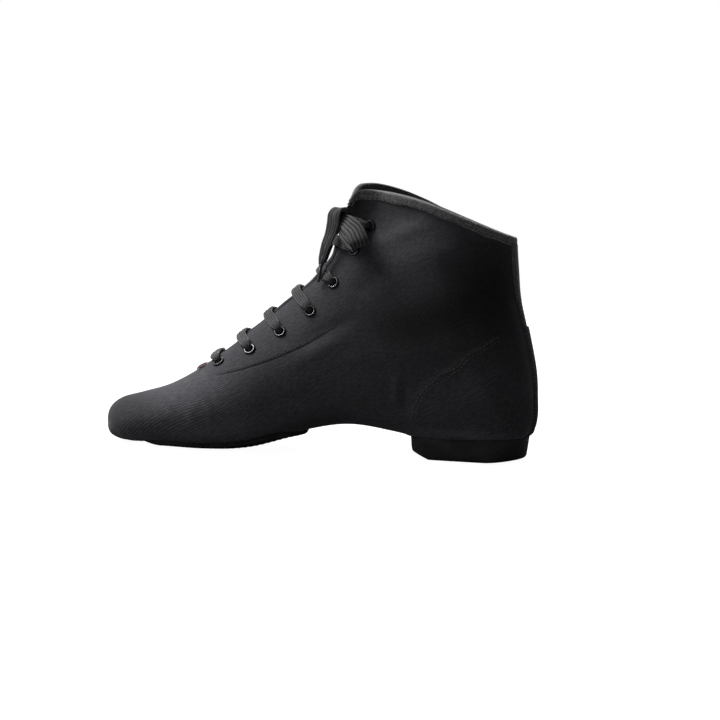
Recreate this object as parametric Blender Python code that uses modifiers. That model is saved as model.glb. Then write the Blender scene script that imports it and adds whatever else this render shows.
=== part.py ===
"""A canvas lace-up jazz boot for the right foot, standing empty on its split sole.

The toe points along -X, the medial side faces -Y and the origin lies on the floor under the
middle of the boot. Sizes below are in millimetres and become metres as each mesh is made.
"""

import math

import bmesh
import bpy
import numpy as np
from mathutils import Matrix, Vector

MM = 0.001

# Moves the sections' own origin, under the ankle, to the middle of the boot
CENTRE_SHIFT = (1.25, -0.2, 0.0)

# Thicknesses of the pieces and the clearance between pieces that meet
WALL = 1.6
GAP = 0.3
INSOLE_THICK = 2.0
SOLE_THICK = 2.6
SOLE_TREAD = 0.8
TONGUE_THICK = 1.5
BINDING_THICK = 0.8
BACKSTAY_THICK = 1.1
COUNTER_THICK = 0.5

# The last, as sections that fan from the toe, over the instep, to the collar. Each row is a
# plane through its top point on the throat line and its low point on the sole or back seam.
# near and far are the half widths to the medial and lateral side, wide is the share of the way
# down at which they are reached, crown and square are how boxy the section is above and below.
COLUMNS = (
    "top_x", "top_z", "low_x", "low_z", "top_y", "low_y", "near", "far", "wide", "crown", "square",
)
SECTIONS = {
    "tip": (-126.2, 12.8, -126.2, 12.8, -9.0, -9.0, 0.0, 0.0, 0.50, 2.00, 2.0),
    "nose": (-124.4, 19.6, -124.2, 6.2, -9.0, -9.0, 11.0, 11.5, 0.50, 2.00, 2.0),
    "toe": (-118.2, 24.8, -117.4, 3.2, -8.5, -8.5, 20.5, 20.5, 0.54, 2.00, 2.2),
    "toe_box": (-106.4, 28.5, -106.0, 2.7, -8.0, -7.5, 28.5, 29.5, 0.60, 2.10, 2.7),
    "vamp": (-90.0, 34.2, -88.0, 3.2, -6.5, -5.0, 34.5, 37.5, 0.64, 2.05, 3.6),
    "ball": (-71.5, 45.8, -66.0, 3.2, -5.0, -2.0, 38.5, 42.5, 0.68, 1.85, 4.4),
    "instep_low": (-51.1, 62.7, -44.0, 4.0, -4.0, 0.0, 37.5, 43.0, 0.68, 1.65, 4.0),
    "instep": (-30.1, 81.2, -18.0, 9.2, -3.0, 2.0, 34.0, 40.0, 0.65, 1.55, 3.0),
    "waist": (-10.7, 99.1, 13.0, 15.2, -2.0, 2.5, 30.5, 36.0, 0.60, 1.52, 2.6),
    "shank": (-1.0, 112.0, 42.0, 13.4, -1.0, 1.5, 30.5, 33.0, 0.58, 1.52, 4.0),
    "heel_front": (2.2, 121.3, 70.0, 9.4, 0.0, 0.5, 31.0, 32.0, 0.57, 1.52, 7.5),
    "heel_seat": (4.2, 129.0, 99.0, 9.6, 0.0, 0.0, 31.0, 31.5, 0.57, 1.52, 7.5),
    "heel_corner": (5.6, 135.2, 119.2, 17.5, 0.0, 0.0, 31.5, 31.5, 0.56, 1.54, 3.0),
    "heel_bulge": (6.8, 140.0, 121.4, 40.0, 0.0, 0.0, 31.5, 31.5, 0.55, 1.56, 2.4),
    "heel_upper": (8.0, 143.8, 117.4, 63.0, 0.0, 0.0, 31.0, 31.0, 0.54, 1.58, 2.2),
    "achilles": (9.2, 147.0, 110.8, 88.0, 0.0, 0.0, 30.5, 30.5, 0.52, 1.60, 2.1),
    "shaft": (10.4, 149.7, 107.8, 108.8, 0.0, 0.0, 30.0, 30.0, 0.50, 1.62, 2.0),
    "collar": (11.6, 152.0, 106.0, 128.2, 0.0, 0.0, 30.0, 30.0, 0.50, 1.64, 2.0),
}
TABLE = np.array(list(SECTIONS.values()))
NUMBER = {name: float(i) for i, name in enumerate(SECTIONS)}
COLLAR = NUMBER["collar"]

# The collar line bows up at the sides, drops at its two front corners and stands higher at the
# lateral one
COLLAR_RISE = 4.0
CORNER_DROP = 5.5
CORNER_TURN = 0.62
LATERAL_LIFT = 4.0
LIFT_BEGINS, LIFT_FULL, LIFT_ENDS = 0.3, 0.5, 1.7
RISE_FROM = NUMBER["heel_upper"]

# The throat: where it starts, and half its width at the bottom and at the collar
THROAT_START = 5.0
THROAT_ROUND = 0.5
THROAT_HALF_LOW = 5.0
THROAT_HALF_TOP = 8.0

# The lacing panel laps over the vamp. Its edge leaves the throat's base and runs back along the
# side, given as the turn from the throat line at each section, until it fades into the quarter.
PANEL_EDGE = {
    "base": (4.95, 0.14),
    "bend": (5.18, 0.54),
    "side": (5.40, 0.76),
    "second_row": (6.05, 0.88),
    "third_row": (6.86, 1.00),
    "quarter": (7.70, 1.06),
    "end": (8.60, 1.04),
}
PANEL_STEP = 0.5
PANEL_SLOPE_TURN = 0.016
PANEL_COLUMN_LEAST = 0.76
PANEL_FADE_FRONT = (4.90, 5.15)
PANEL_FADE_BACK = (7.9, 8.9)

# Eyelets: how far along the throat line from its base, and how far from the throat's edge
EYELETS = (
    (12.8, 11.2),
    (35.2, 16.7),
    (56.3, 17.6),
    (76.8, 17.4),
    (94.6, 12.9),
    (114.8, 12.9),
    (129.4, 17.5),
)
EYELET_HOLE_R = 2.3
EYELET_BARREL_R = 2.6
EYELET_FLANGE_R = 3.6
EYELET_FLANGE_THICK = 0.75
EYELET_FLANGE_BEVEL = 0.4
EYELET_SIDES = 10
EYELET_MERGE = 0.01
PUNCH_LENGTH = 12.0

# Lace: a flat cotton braid, squeezed where it passes an eyelet
LACE_THICK = 1.5
LACE_ROUND_R = 1.8
AGLET_R = 1.5
AGLET_LENGTH = 10.5
LOOP_POINTS = 17
END_POINTS = 10

# Heel block
HEEL_BREAST_X = 51.5
HEEL_BACK_X = 120.2
HEEL_HALF_WIDTH = 26.0
HEEL_TOP_FRONT = 12.6
HEEL_TOP_BACK = 15.4
HEEL_TAPER = 1.2
SEAT_ROOM = 0.4
HEEL_BEVEL = 1.2
HEEL_CHAMFER_LONG = 10.5
HEEL_CHAMFER_HIGH = 5.5

# Mesh density of the upper: strips between throat and panel edge, and between that and the sole
PANEL_STRIPS = 4
SIDE_STRIPS = 9
HALF_COLUMNS = PANEL_STRIPS + 1 + SIDE_STRIPS
DENSE = 241


# The last's surface

def column(name, s):
    """One column of the table at section number s, on a smooth curve through the rows."""
    v = TABLE[:, COLUMNS.index(name)]
    ends = np.concatenate([[2 * v[0] - v[1]], v, [2 * v[-1] - v[-2]]])
    i = np.clip(np.floor(s).astype(int), 0, len(v) - 2)
    u = s - i
    p0, p1, p2, p3 = (ends[i + k] for k in range(4))
    bend = 2 * p0 - 5 * p1 + 4 * p2 - p3
    twist = 3 * p1 - p0 - 3 * p2 + p3
    return 0.5 * (2 * p1 + (p2 - p0) * u + bend * u**2 + twist * u**3)


def smooth_step(x, low, high):
    u = np.clip((x - low) / (high - low), 0.0, 1.0)
    return u * u * (3.0 - 2.0 * u)


def surface(s, turn):
    """Points of the last at section s, turned from the throat line (0) over the medial side,
    the sole or back seam (pi) and the lateral side back to the throat line (2 pi)."""
    s, turn = np.broadcast_arrays(np.asarray(s, float), np.asarray(turn, float))
    turn = np.mod(turn, 2 * math.pi)
    near = turn <= math.pi
    phi = np.where(near, turn, 2 * math.pi - turn)
    above = phi < math.pi / 2
    power = 2.0 / np.where(above, column("crown", s), column("square", s))
    aside = np.sin(phi) ** power
    along = np.abs(np.cos(phi)) ** power
    wide = column("wide", s)
    down = np.where(above, wide * (1 - along), wide + (1 - wide) * along)
    half = np.where(near, -column("near", s), column("far", s))
    x = column("top_x", s) * (1 - down) + column("low_x", s) * down
    z = column("top_z", s) * (1 - down) + column("low_z", s) * down
    y = column("top_y", s) * (1 - down) + column("low_y", s) * down + half * aside
    bow = COLLAR_RISE * np.sin(phi) ** 2 * (1 + np.cos(phi))
    corner = CORNER_DROP * np.clip(1 - phi / CORNER_TURN, 0, 1) ** 2
    lift = smooth_step(phi, 0.0, LIFT_BEGINS) * (1 - smooth_step(phi, LIFT_FULL, LIFT_ENDS))
    rise = (bow - corner + LATERAL_LIFT * lift * ~near) * smooth_step(s, RISE_FROM, COLLAR)
    lean = math.atan2(TABLE[-1, 1] - TABLE[-1, 3], TABLE[-1, 2] - TABLE[-1, 0])
    return np.stack([x + rise * math.sin(lean), y, z + rise * math.cos(lean)], axis=-1)


def normal(s, turn):
    """Outward unit normals of the last."""
    s, turn = np.broadcast_arrays(np.asarray(s, float), np.asarray(turn, float))
    step = 1e-3
    over = surface(np.minimum(s + step, COLLAR), turn) - surface(np.maximum(s - step, 0.0), turn)
    round_it = surface(s, turn + step) - surface(s, turn - step)
    n = np.cross(round_it, over)
    size = np.linalg.norm(n, axis=-1, keepdims=True)
    return np.where(size > 1e-9, n / np.maximum(size, 1e-9), np.array([-1.0, 0.0, 0.0]))


def panel_edge(s):
    """The turn from the throat line at which the lacing panel ends."""
    at, turns = np.array(list(PANEL_EDGE.values())).T
    return np.interp(s, at, turns)


def panel_step(s, turn):
    """How far the lacing panel stands out: full height above its edge, nothing below it."""
    phi = np.mod(turn, 2 * math.pi)
    phi = np.minimum(phi, 2 * math.pi - phi)
    edge = panel_edge(s)
    above = 1 - smooth_step(phi, edge - PANEL_SLOPE_TURN, edge + PANEL_SLOPE_TURN)
    along = smooth_step(s, *PANEL_FADE_FRONT) * (1 - smooth_step(s, *PANEL_FADE_BACK))
    return PANEL_STEP * above * along


def skin(s, turn, offset=0.0):
    """The upper's outside moved out by offset, or in where it is negative."""
    s, turn = np.broadcast_arrays(np.asarray(s, float), np.asarray(turn, float))
    out = panel_step(s, turn) + offset
    return surface(s, turn) + normal(s, turn) * out[..., None]


def half_ring(s, far):
    """Turns along one side of section s and how far round each lies from the throat line."""
    turn = np.linspace(0, math.pi, DENSE)
    if far:
        turn = 2 * math.pi - turn
    points = surface(s, turn)
    steps = np.linalg.norm(np.diff(points, axis=0), axis=1)
    return turn, np.concatenate([[0.0], np.cumsum(steps)])


def turn_from_top(s, distance, far=False):
    """The turn at this distance from the throat line."""
    turn, arc = half_ring(s, far)
    return np.interp(distance, arc, turn)


def turn_from_low(s, distance, far=False):
    """The turn at this distance from the sole's middle or the back seam."""
    turn, arc = half_ring(s, far)
    return np.interp(arc[-1] - distance, arc, turn)


def throat_half(s):
    """Half the throat's width at section s: round at its base, then slowly wider."""
    opened = np.sqrt(np.clip((s - THROAT_START) / THROAT_ROUND, 0.0, 1.0))
    share = np.clip((s - THROAT_START) / (COLLAR - THROAT_START), 0.0, 1.0)
    return opened * (THROAT_HALF_LOW + (THROAT_HALF_TOP - THROAT_HALF_LOW) * share)


def spread(phi, arc, low, high, strips):
    """Distances between two turns, spaced half by distance and half by turn, so that tight corners
    get more of them."""
    share = np.linspace(0, 1, strips + 1)
    by_turn = np.interp(low + (high - low) * share, phi, arc)
    by_arc = by_turn[0] + (by_turn[-1] - by_turn[0]) * share
    return 0.5 * (by_turn + by_arc)


def upper_turns(s):
    """The upper's columns at section s, from one throat edge round to the other, with two that run
    along the top and foot of the lacing panel's edge."""
    sides = []
    for far in (False, True):
        turn, arc = half_ring(s, far)
        phi = np.abs(turn - turn[0])
        start = np.interp(throat_half(s), arc, phi)
        edge = max(float(panel_edge(s)), PANEL_COLUMN_LEAST)
        panel = spread(phi, arc, start, edge - PANEL_SLOPE_TURN, PANEL_STRIPS)
        side = spread(phi, arc, edge + PANEL_SLOPE_TURN, math.pi, SIDE_STRIPS)
        sides.append(np.interp(np.concatenate([panel, side]), arc, turn))
    near, far = sides
    return np.concatenate([near, far[-2::-1]])


# Meshes

def clear_scene():
    for obj in list(bpy.data.objects):
        bpy.data.objects.remove(obj, do_unlink=True)


def collection(name, shown=True):
    made = bpy.data.collections.new(name)
    bpy.context.scene.collection.children.link(made)
    made.hide_render = not shown
    return made


def material(name, colour, roughness, metallic=0.0):
    made = bpy.data.materials.new(name)
    made.use_nodes = True
    shader = made.node_tree.nodes["Principled BSDF"]
    shader.inputs["Base Color"].default_value = (*colour, 1.0)
    shader.inputs["Roughness"].default_value = roughness
    shader.inputs["Metallic"].default_value = metallic
    return made


def add_object(name, data, finish, where):
    obj = bpy.data.objects.new(name, data)
    if finish:
        data.materials.append(finish)
    where.objects.link(obj)
    return obj


def moved_to(where, obj, name):
    """Renames an object that a primitive has just added and moves it to its own collection."""
    for old in list(obj.users_collection):
        old.objects.unlink(obj)
    where.objects.link(obj)
    obj.name = name
    return obj


def mesh_of(name, points, faces, sharp=50.0, triangles=False):
    """A mesh from points in millimetres, with doubled points welded. Triangles are split the same
    way on every mesh, so that two skins of one form lie parallel."""
    data = bpy.data.meshes.new(name)
    data.from_pydata((np.asarray(points).reshape(-1, 3) * MM).tolist(), [], faces)
    work = bmesh.new()
    work.from_mesh(data)
    bmesh.ops.remove_doubles(work, verts=work.verts, dist=1e-6)
    bmesh.ops.dissolve_degenerate(work, edges=work.edges, dist=1e-7)
    if triangles:
        bmesh.ops.triangulate(work, faces=work.faces, quad_method="FIXED")
    work.to_mesh(data)
    work.free()
    data.shade_smooth()
    data.set_sharp_from_angle(angle=math.radians(sharp))
    return data


def grid_faces(rows, columns, first=0):
    """Quads of a grid of points, row by row."""
    return [
        (first + r * columns + c, first + r * columns + c + 1,
         first + (r + 1) * columns + c + 1, first + (r + 1) * columns + c)
        for r in range(rows - 1)
        for c in range(columns - 1)
    ]


def rim_faces(rows, columns, second):
    """Quads that join the edge of one grid to the edge of a second one of the same size."""
    ring = [c for c in range(columns)]
    ring += [r * columns + columns - 1 for r in range(1, rows)]
    ring += [(rows - 1) * columns + c for c in range(columns - 2, -1, -1)]
    ring += [r * columns for r in range(rows - 2, 0, -1)]
    following = ring[1:] + ring[:1]
    return [(b, a, second + a, second + b) for a, b in zip(ring, following)]


def slab(name, outside, inside, finish, where):
    """A closed sheet between two grids of points."""
    rows, columns, _ = outside.shape
    count = rows * columns
    faces = grid_faces(rows, columns)
    faces += [tuple(reversed(f)) for f in grid_faces(rows, columns, count)]
    faces += rim_faces(rows, columns, count)
    points = np.concatenate([outside.reshape(-1, 3), inside.reshape(-1, 3)])
    return add_object(name, outward(mesh_of(name, points, faces)), finish, where)


def outward(data):
    """Turns a closed mesh's faces outwards."""
    work = bmesh.new()
    work.from_mesh(data)
    bmesh.ops.recalc_face_normals(work, faces=work.faces)
    work.to_mesh(data)
    work.free()
    return data


def tube(name, rings, finish, where):
    """A closed tube through rings of points, with flat ends."""
    count, sides, _ = rings.shape
    faces = [
        (r * sides + k, r * sides + (k + 1) % sides,
         (r + 1) * sides + (k + 1) % sides, (r + 1) * sides + k)
        for r in range(count - 1)
        for k in range(sides)
    ]
    faces.append(tuple(range(sides - 1, -1, -1)))
    faces.append(tuple((count - 1) * sides + k for k in range(sides)))
    return add_object(name, outward(mesh_of(name, rings, faces)), finish, where)


# Upper

UPPER_ROWS = np.concatenate([
    [0.0, 0.4, 0.8, 1.25, 1.7, 2.2, 2.7, 3.2, 3.8, 4.4, 4.8],
    [5.0, 5.06, 5.2, 5.5, 6.0],
    np.arange(6.5, 10.0, 0.5),
    np.arange(10.0, 12.9, 0.3),
    np.arange(13.0, 16.6, 0.5),
    [COLLAR],
])
FOREFOOT_OPENING = (3.2, 6.5)
HEEL_OPENING = (10.0, 11.2)
OPENING_HALF_COLUMNS = 2


def upper_surface():
    """The upper's outer skin as an open mesh: split at the throat and open where the soles close it."""
    columns = 2 * HALF_COLUMNS + 1
    points = np.stack([skin(s, upper_turns(s)) for s in UPPER_ROWS])
    middle = HALF_COLUMNS
    faces = []
    for face in grid_faces(len(UPPER_ROWS), columns):
        row, col = divmod(face[0], columns)
        low, high = UPPER_ROWS[row], UPPER_ROWS[row + 1]
        under = middle - OPENING_HALF_COLUMNS <= col < middle + OPENING_HALF_COLUMNS
        cut = any(low >= a - 1e-6 and high <= b + 1e-6 for a, b in (FOREFOOT_OPENING, HEEL_OPENING))
        if not (under and cut):
            faces.append(face)
    return mesh_of("upper", points, faces, triangles=True)


def last_form(name, offset, where):
    """The whole last as a closed solid, moved out by offset, for cutting what it rests in."""
    columns = 2 * HALF_COLUMNS + 1
    points = np.stack([skin(s, upper_turns(s), offset) for s in UPPER_ROWS])
    work = bmesh.new()
    work.from_mesh(mesh_of(name, points, grid_faces(len(UPPER_ROWS), columns), triangles=True))
    bmesh.ops.holes_fill(work, edges=[e for e in work.edges if e.is_boundary])
    bmesh.ops.triangulate(work, faces=work.faces)
    bmesh.ops.recalc_face_normals(work, faces=work.faces)
    data = bpy.data.meshes.new(name)
    work.to_mesh(data)
    work.free()
    return helper(add_object(name, data, None, where))


def helper(obj):
    obj.hide_render = True
    obj.display_type = "WIRE"
    return obj


def make_upper(canvas, shown, cutters):
    obj = add_object("upper", upper_surface(), canvas, shown)
    wall = obj.modifiers.new("wall", "SOLIDIFY")
    wall.thickness = WALL * MM
    wall.offset = -1.0
    wall.use_even_offset = True
    punch = obj.modifiers.new("eyelet_holes", "BOOLEAN")
    punch.operation = "DIFFERENCE"
    punch.operand_type = "COLLECTION"
    punch.collection = cutters
    return obj


# Pieces that follow the last

def patch(rows, near_reach, far_reach, columns, from_low=True):
    """Section numbers and turns of a patch that reaches so far to each side of the low or throat line."""
    find = turn_from_low if from_low else turn_from_top
    share = np.linspace(0, 1, columns // 2 + 1)
    turns = []
    for s, a, b in zip(rows, near_reach, far_reach):
        near = find(s, a * share, False)
        far = find(s, b * share, True)
        if not from_low:
            far = far - 2 * math.pi * (far > math.pi)
            turns.append(np.concatenate([near[::-1], np.minimum(far[1:], 0.0)]))
        else:
            turns.append(np.concatenate([near[::-1], far[1:]]))
    turns = np.stack(turns)
    return np.broadcast_to(np.asarray(rows)[:, None], turns.shape), turns


def rounded(rows, front, back):
    """Shares of full width along a patch, rounded off over front and back section lengths."""
    u = np.clip((rows - rows[0]) / front, 0, 1)
    v = np.clip((rows[-1] - rows) / back, 0, 1)
    return np.sqrt(np.clip(1 - (1 - u) ** 2, 0, 1)) * np.sqrt(np.clip(1 - (1 - v) ** 2, 0, 1))


def ease(low, high, count):
    """Numbers from low to high, closer together at both ends."""
    u = np.linspace(0, math.pi, count)
    return low + (high - low) * (1 - np.cos(u)) / 2


SOLE_FROM, SOLE_TO = 2.85, 7.28
SOLE_REACH = 0.84
SOLE_ROUND_FRONT, SOLE_ROUND_BACK, SOLE_END_SHARE = 1.5, 0.9, 0.30
SOLE_ROWS, SOLE_COLUMNS = 15, 10


def make_forefoot_sole(rubber, shown):
    """The front half of the split sole: a thin patch under the ball, flat where it stands."""
    rows = ease(SOLE_FROM, SOLE_TO, SOLE_ROWS)
    width = np.maximum(rounded(rows, SOLE_ROUND_FRONT, SOLE_ROUND_BACK), SOLE_END_SHARE)
    near = width * SOLE_REACH * column("near", rows)
    far = width * SOLE_REACH * column("far", rows)
    s, turns = patch(rows, near, far, SOLE_COLUMNS)
    top = skin(s, turns, GAP)
    low = skin(s, turns, GAP + SOLE_THICK)
    low[..., 2] = np.maximum(low[..., 2] - SOLE_TREAD, 0.0)
    return slab("forefoot_sole", low, top, rubber, shown)


INSOLE_FROM, INSOLE_TO = 2.0, 11.3
INSOLE_REACH = 0.72
INSOLE_ROUND_FRONT, INSOLE_ROUND_BACK, INSOLE_END_SHARE = 1.6, 1.0, 0.35
INSOLE_ROOM = 0.6
INSOLE_COLUMNS = 6


def make_insole(cloth, shown):
    """The sock that lies inside along the whole foot and closes the two openings from above."""
    rows = UPPER_ROWS[(UPPER_ROWS > INSOLE_FROM) & (UPPER_ROWS < INSOLE_TO)]
    width = np.maximum(rounded(rows, INSOLE_ROUND_FRONT, INSOLE_ROUND_BACK), INSOLE_END_SHARE)
    near = width * INSOLE_REACH * column("near", rows)
    far = width * INSOLE_REACH * column("far", rows)
    s, turns = patch(rows, near, far, INSOLE_COLUMNS)
    low = -(WALL + INSOLE_ROOM)
    under = skin(s, turns, low)
    over = skin(s, turns, low - INSOLE_THICK)
    return slab("insole", under, over, cloth, shown)


TONGUE_FROM, TONGUE_TO = 4.35, 16.4
TONGUE_HALF_LOW, TONGUE_HALF_TOP = 19.0, 26.0
TONGUE_ROOM_FRONT, TONGUE_ROOM = 0.6, 2.2
TONGUE_ROOM_FULL = THROAT_START + 0.6
TONGUE_ROWS, TONGUE_COLUMNS = 15, 6


def make_tongue(canvas, shown):
    """A sheet behind the lacing, sewn in ahead of the throat and set back to leave the lace room."""
    rows = np.linspace(TONGUE_FROM, TONGUE_TO, TONGUE_ROWS)
    share = (rows - TONGUE_FROM) / (TONGUE_TO - TONGUE_FROM)
    reach = TONGUE_HALF_LOW + (TONGUE_HALF_TOP - TONGUE_HALF_LOW) * share
    s, turns = patch(rows, reach, reach, TONGUE_COLUMNS, from_low=False)
    deepening = smooth_step(s, TONGUE_FROM, TONGUE_ROOM_FULL)
    room = TONGUE_ROOM_FRONT + (TONGUE_ROOM - TONGUE_ROOM_FRONT) * deepening
    over = skin(s, turns, -(WALL + room))
    under = skin(s, turns, -(WALL + room + TONGUE_THICK))
    return slab("tongue", over, under, canvas, shown)


BINDING_DEEP = 5.6
BINDING_ROOM = 0.5
COLLAR_STEP = 0.05
# Depth below the collar's edge and height over the canvas, down the outside and up the inside
BINDING_PROFILE = (
    (BINDING_DEEP, GAP),
    (BINDING_DEEP - BINDING_THICK, GAP + BINDING_THICK),
    (0.0, GAP + BINDING_THICK),
    (-BINDING_ROOM - BINDING_THICK, 0.0),
    (-BINDING_ROOM - BINDING_THICK, -WALL),
    (0.0, -WALL - BINDING_ROOM - BINDING_THICK),
    (BINDING_DEEP, -WALL - BINDING_ROOM - BINDING_THICK),
    (BINDING_DEEP, -WALL - BINDING_ROOM),
    (-BINDING_ROOM, -WALL - BINDING_ROOM),
    (-BINDING_ROOM, GAP),
)


def below_collar(turns, depth):
    """Section numbers that lie so far below the collar's edge."""
    rise = surface(COLLAR, turns) - surface(COLLAR - COLLAR_STEP, turns)
    return COLLAR - depth * COLLAR_STEP / np.linalg.norm(rise, axis=-1)


def make_binding(tape, shown):
    """Bias tape folded over the collar's edge, from one throat corner round to the other."""
    turns = upper_turns(COLLAR)
    up = surface(COLLAR, turns) - surface(COLLAR - COLLAR_STEP, turns)
    up /= np.linalg.norm(up, axis=-1, keepdims=True)
    rings = []
    for depth, offset in BINDING_PROFILE:
        inside = max(depth, 0.0)
        points = skin(below_collar(turns, inside), turns, offset)
        rings.append(points + up * (inside - depth))
    return tube("collar_binding", np.stack(rings, axis=1), tape, shown)


BACKSTAY_FROM = 12.1
BACKSTAY_HALF_LOW, BACKSTAY_HALF_TOP = 8.0, 11.5
BACKSTAY_JOIN = 14.6
BACKSTAY_JOIN_SLOPE = 0.03
BACKSTAY_ROWS, BACKSTAY_COLUMNS = 13, 4


def make_backstay(tape, shown):
    """The strip over the back seam, from the heel to the binding. It stands prouder below its
    join, where the stiffened counter lies under it."""
    top = float(below_collar(np.array([math.pi]), BINDING_DEEP + GAP)[0])
    rows = np.linspace(BACKSTAY_FROM, top, BACKSTAY_ROWS)
    rows = np.sort(np.append(rows, BACKSTAY_JOIN - BACKSTAY_JOIN_SLOPE))
    widening = (BACKSTAY_HALF_TOP - BACKSTAY_HALF_LOW) * smooth_step(rows, rows[0], rows[-1])
    reach = BACKSTAY_HALF_LOW + widening
    s, turns = patch(rows, reach, reach, BACKSTAY_COLUMNS)
    proud = np.where(s < BACKSTAY_JOIN, COUNTER_THICK, 0.0)
    over = skin(s, turns, GAP + BACKSTAY_THICK + proud)
    under = skin(s, turns, GAP)
    return slab("backstay", over, under, tape, shown)


BREAST_BOW = 0.6
BREAST_CORNER_ASIDE, BREAST_CORNER_BACK, BREAST_CORNER_IN = 3.5, 3.0, 0.4
HEEL_ROUNDNESS = 1.06
HEEL_BACK_POINTS = 15
# Each level of the block: how far it lies in from the top's outline, and its share of the height
HEEL_LEVELS = (
    (HEEL_TAPER + HEEL_BEVEL, 0.0),
    (HEEL_TAPER, 0.1),
    (0.0, 1.0),
)
CHAMFER_BLOCK = (40.0, 80.0, 10.0)


def heel_outline(inset):
    """The heel's plan outline: a nearly straight breast, then sides that run into a round back."""
    half = HEEL_HALF_WIDTH - inset
    front = HEEL_BREAST_X + inset
    long = half * HEEL_ROUNDNESS
    centre = HEEL_BACK_X - inset - long
    arc = np.linspace(-math.pi / 2, math.pi / 2, HEEL_BACK_POINTS)
    corner = (front + BREAST_CORNER_BACK, half - BREAST_CORNER_IN)
    edge = (front, half - BREAST_CORNER_ASIDE)
    return np.array([
        (corner[0], -corner[1]),
        *np.column_stack([centre + long * np.cos(arc), half * np.sin(arc)]),
        corner,
        edge,
        (front - BREAST_BOW, 0.0),
        (edge[0], -edge[1]),
    ])


def heel_chamfer(forms):
    """A block that lies under the slope which cuts back the heel's lower front edge."""
    slope = math.atan2(HEEL_CHAMFER_HIGH, HEEL_CHAMFER_LONG)
    middle = Vector((HEEL_BREAST_X + HEEL_CHAMFER_LONG / 2, 0.0, HEEL_CHAMFER_HIGH / 2))
    middle -= Vector((math.sin(slope), 0.0, math.cos(slope))) * CHAMFER_BLOCK[2] / 2
    bpy.ops.mesh.primitive_cube_add(size=1.0, location=middle * MM, rotation=(0.0, slope, 0.0))
    block = moved_to(forms, bpy.context.object, "heel_chamfer")
    block.scale = Vector(CHAMFER_BLOCK) * MM
    return helper(block)


def make_heel(rubber, shown, forms):
    """A low block under the heel seat, with its lower front edge cut back."""
    levels = []
    for inset, share in HEEL_LEVELS:
        plan = heel_outline(inset)
        back = (plan[:, 0] - HEEL_BREAST_X) / (HEEL_BACK_X - HEEL_BREAST_X)
        top = HEEL_TOP_FRONT + (HEEL_TOP_BACK - HEEL_TOP_FRONT) * back
        levels.append(np.column_stack([plan, share * top]))
    block = tube("heel_block", np.stack(levels), rubber, shown)
    for cutter in (last_form("seat_form", SEAT_ROOM, forms), heel_chamfer(forms)):
        cut = block.modifiers.new(cutter.name, "BOOLEAN")
        cut.operation = "DIFFERENCE"
        cut.object = cutter
    return block


# Eyelets

def eyelet_rows():
    """Section number and margin of each row of eyelets."""
    fine = np.linspace(THROAT_START, COLLAR, 600)
    line = surface(fine, np.zeros_like(fine))
    arc = np.concatenate([[0.0], np.cumsum(np.linalg.norm(np.diff(line, axis=0), axis=1))])
    return [(float(np.interp(along, arc, fine)), margin) for along, margin in EYELETS]


def eyelet_place(s, margin, far):
    """The matrix that seats an eyelet on the upper, its axis along the outward normal."""
    turn = float(turn_from_top(s, throat_half(s) + margin, far))
    place = Vector(skin(s, turn)) * MM
    axis = Vector(normal(s, turn))
    return Matrix.Translation(place) @ axis.to_track_quat("Z", "Y").to_matrix().to_4x4()


# Radius and height over the canvas: down the flange and barrel, then up the hole
EYELET_PROFILE = (
    (EYELET_FLANGE_R - EYELET_FLANGE_BEVEL, GAP + EYELET_FLANGE_THICK),
    (EYELET_FLANGE_R, GAP),
    (EYELET_BARREL_R, GAP),
    (EYELET_BARREL_R, -WALL - GAP),
    (EYELET_HOLE_R, -WALL - GAP),
    (EYELET_HOLE_R, GAP + EYELET_FLANGE_THICK),
)


def eyelet_profile(metal):
    """The closed outline that is turned about Z to make an eyelet."""
    count = len(EYELET_PROFILE)
    data = bpy.data.meshes.new("eyelet_profile")
    points = [(radius * MM, 0.0, height * MM) for radius, height in EYELET_PROFILE]
    data.from_pydata(points, [(k, (k + 1) % count) for k in range(count)], [])
    data.materials.append(metal)
    return data


def make_eyelets(metal, shown, cutters):
    """A flanged metal ring in each lace hole, and the punch that cuts the hole."""
    profile = eyelet_profile(metal)
    for side, far in (("medial", False), ("lateral", True)):
        for i, (s, margin) in enumerate(eyelet_rows(), start=1):
            place = eyelet_place(s, margin, far)
            ring = add_object(f"eyelet_{side}_{i}", profile, None, shown)
            ring.matrix_world = place
            turned = ring.modifiers.new("turned", "SCREW")
            turned.steps = EYELET_SIDES
            turned.render_steps = EYELET_SIDES
            turned.use_merge_vertices = True
            turned.merge_threshold = EYELET_MERGE * MM
            bpy.ops.mesh.primitive_cylinder_add(
                vertices=EYELET_SIDES,
                radius=(EYELET_BARREL_R + GAP) * MM,
                depth=PUNCH_LENGTH * MM,
            )
            punch = helper(moved_to(cutters, bpy.context.object, f"punch_{side}_{i}"))
            punch.matrix_world = place


# Lace

BAR_WIDTH = 5.4
# From an eyelet's middle towards the throat: how far along, how high over the canvas, how wide
BAR_ROUTE = (
    (0.7, -1.6, 2.6),
    (0.8, 0.7, 2.7),
    (1.7, 2.3, 3.6),
    (4.4, 2.9, 4.8),
    (8.0, 1.7, BAR_WIDTH),
)
BAR_EDGE_HEIGHT = 1.3
BAR_MIDDLE_HEIGHT = 1.0
STRAND_END_WIDTH = 2.6
STRAND_CLEAR = 0.8
# The braid's cross section, as shares of its width and thickness
BRAID = ((-0.5, 0.0), (-0.36, -0.5), (0.36, -0.5), (0.5, 0.0), (0.36, 0.5), (-0.36, 0.5))
SECTION_STEP = 0.02
CROSSING_STEPS = 30


def throat_way(s, turn):
    """The way along the throat at a place on the last, for one section number."""
    ahead = surface(s + SECTION_STEP, turn) - surface(s - SECTION_STEP, turn)
    return ahead / (2 * SECTION_STEP)


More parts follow.
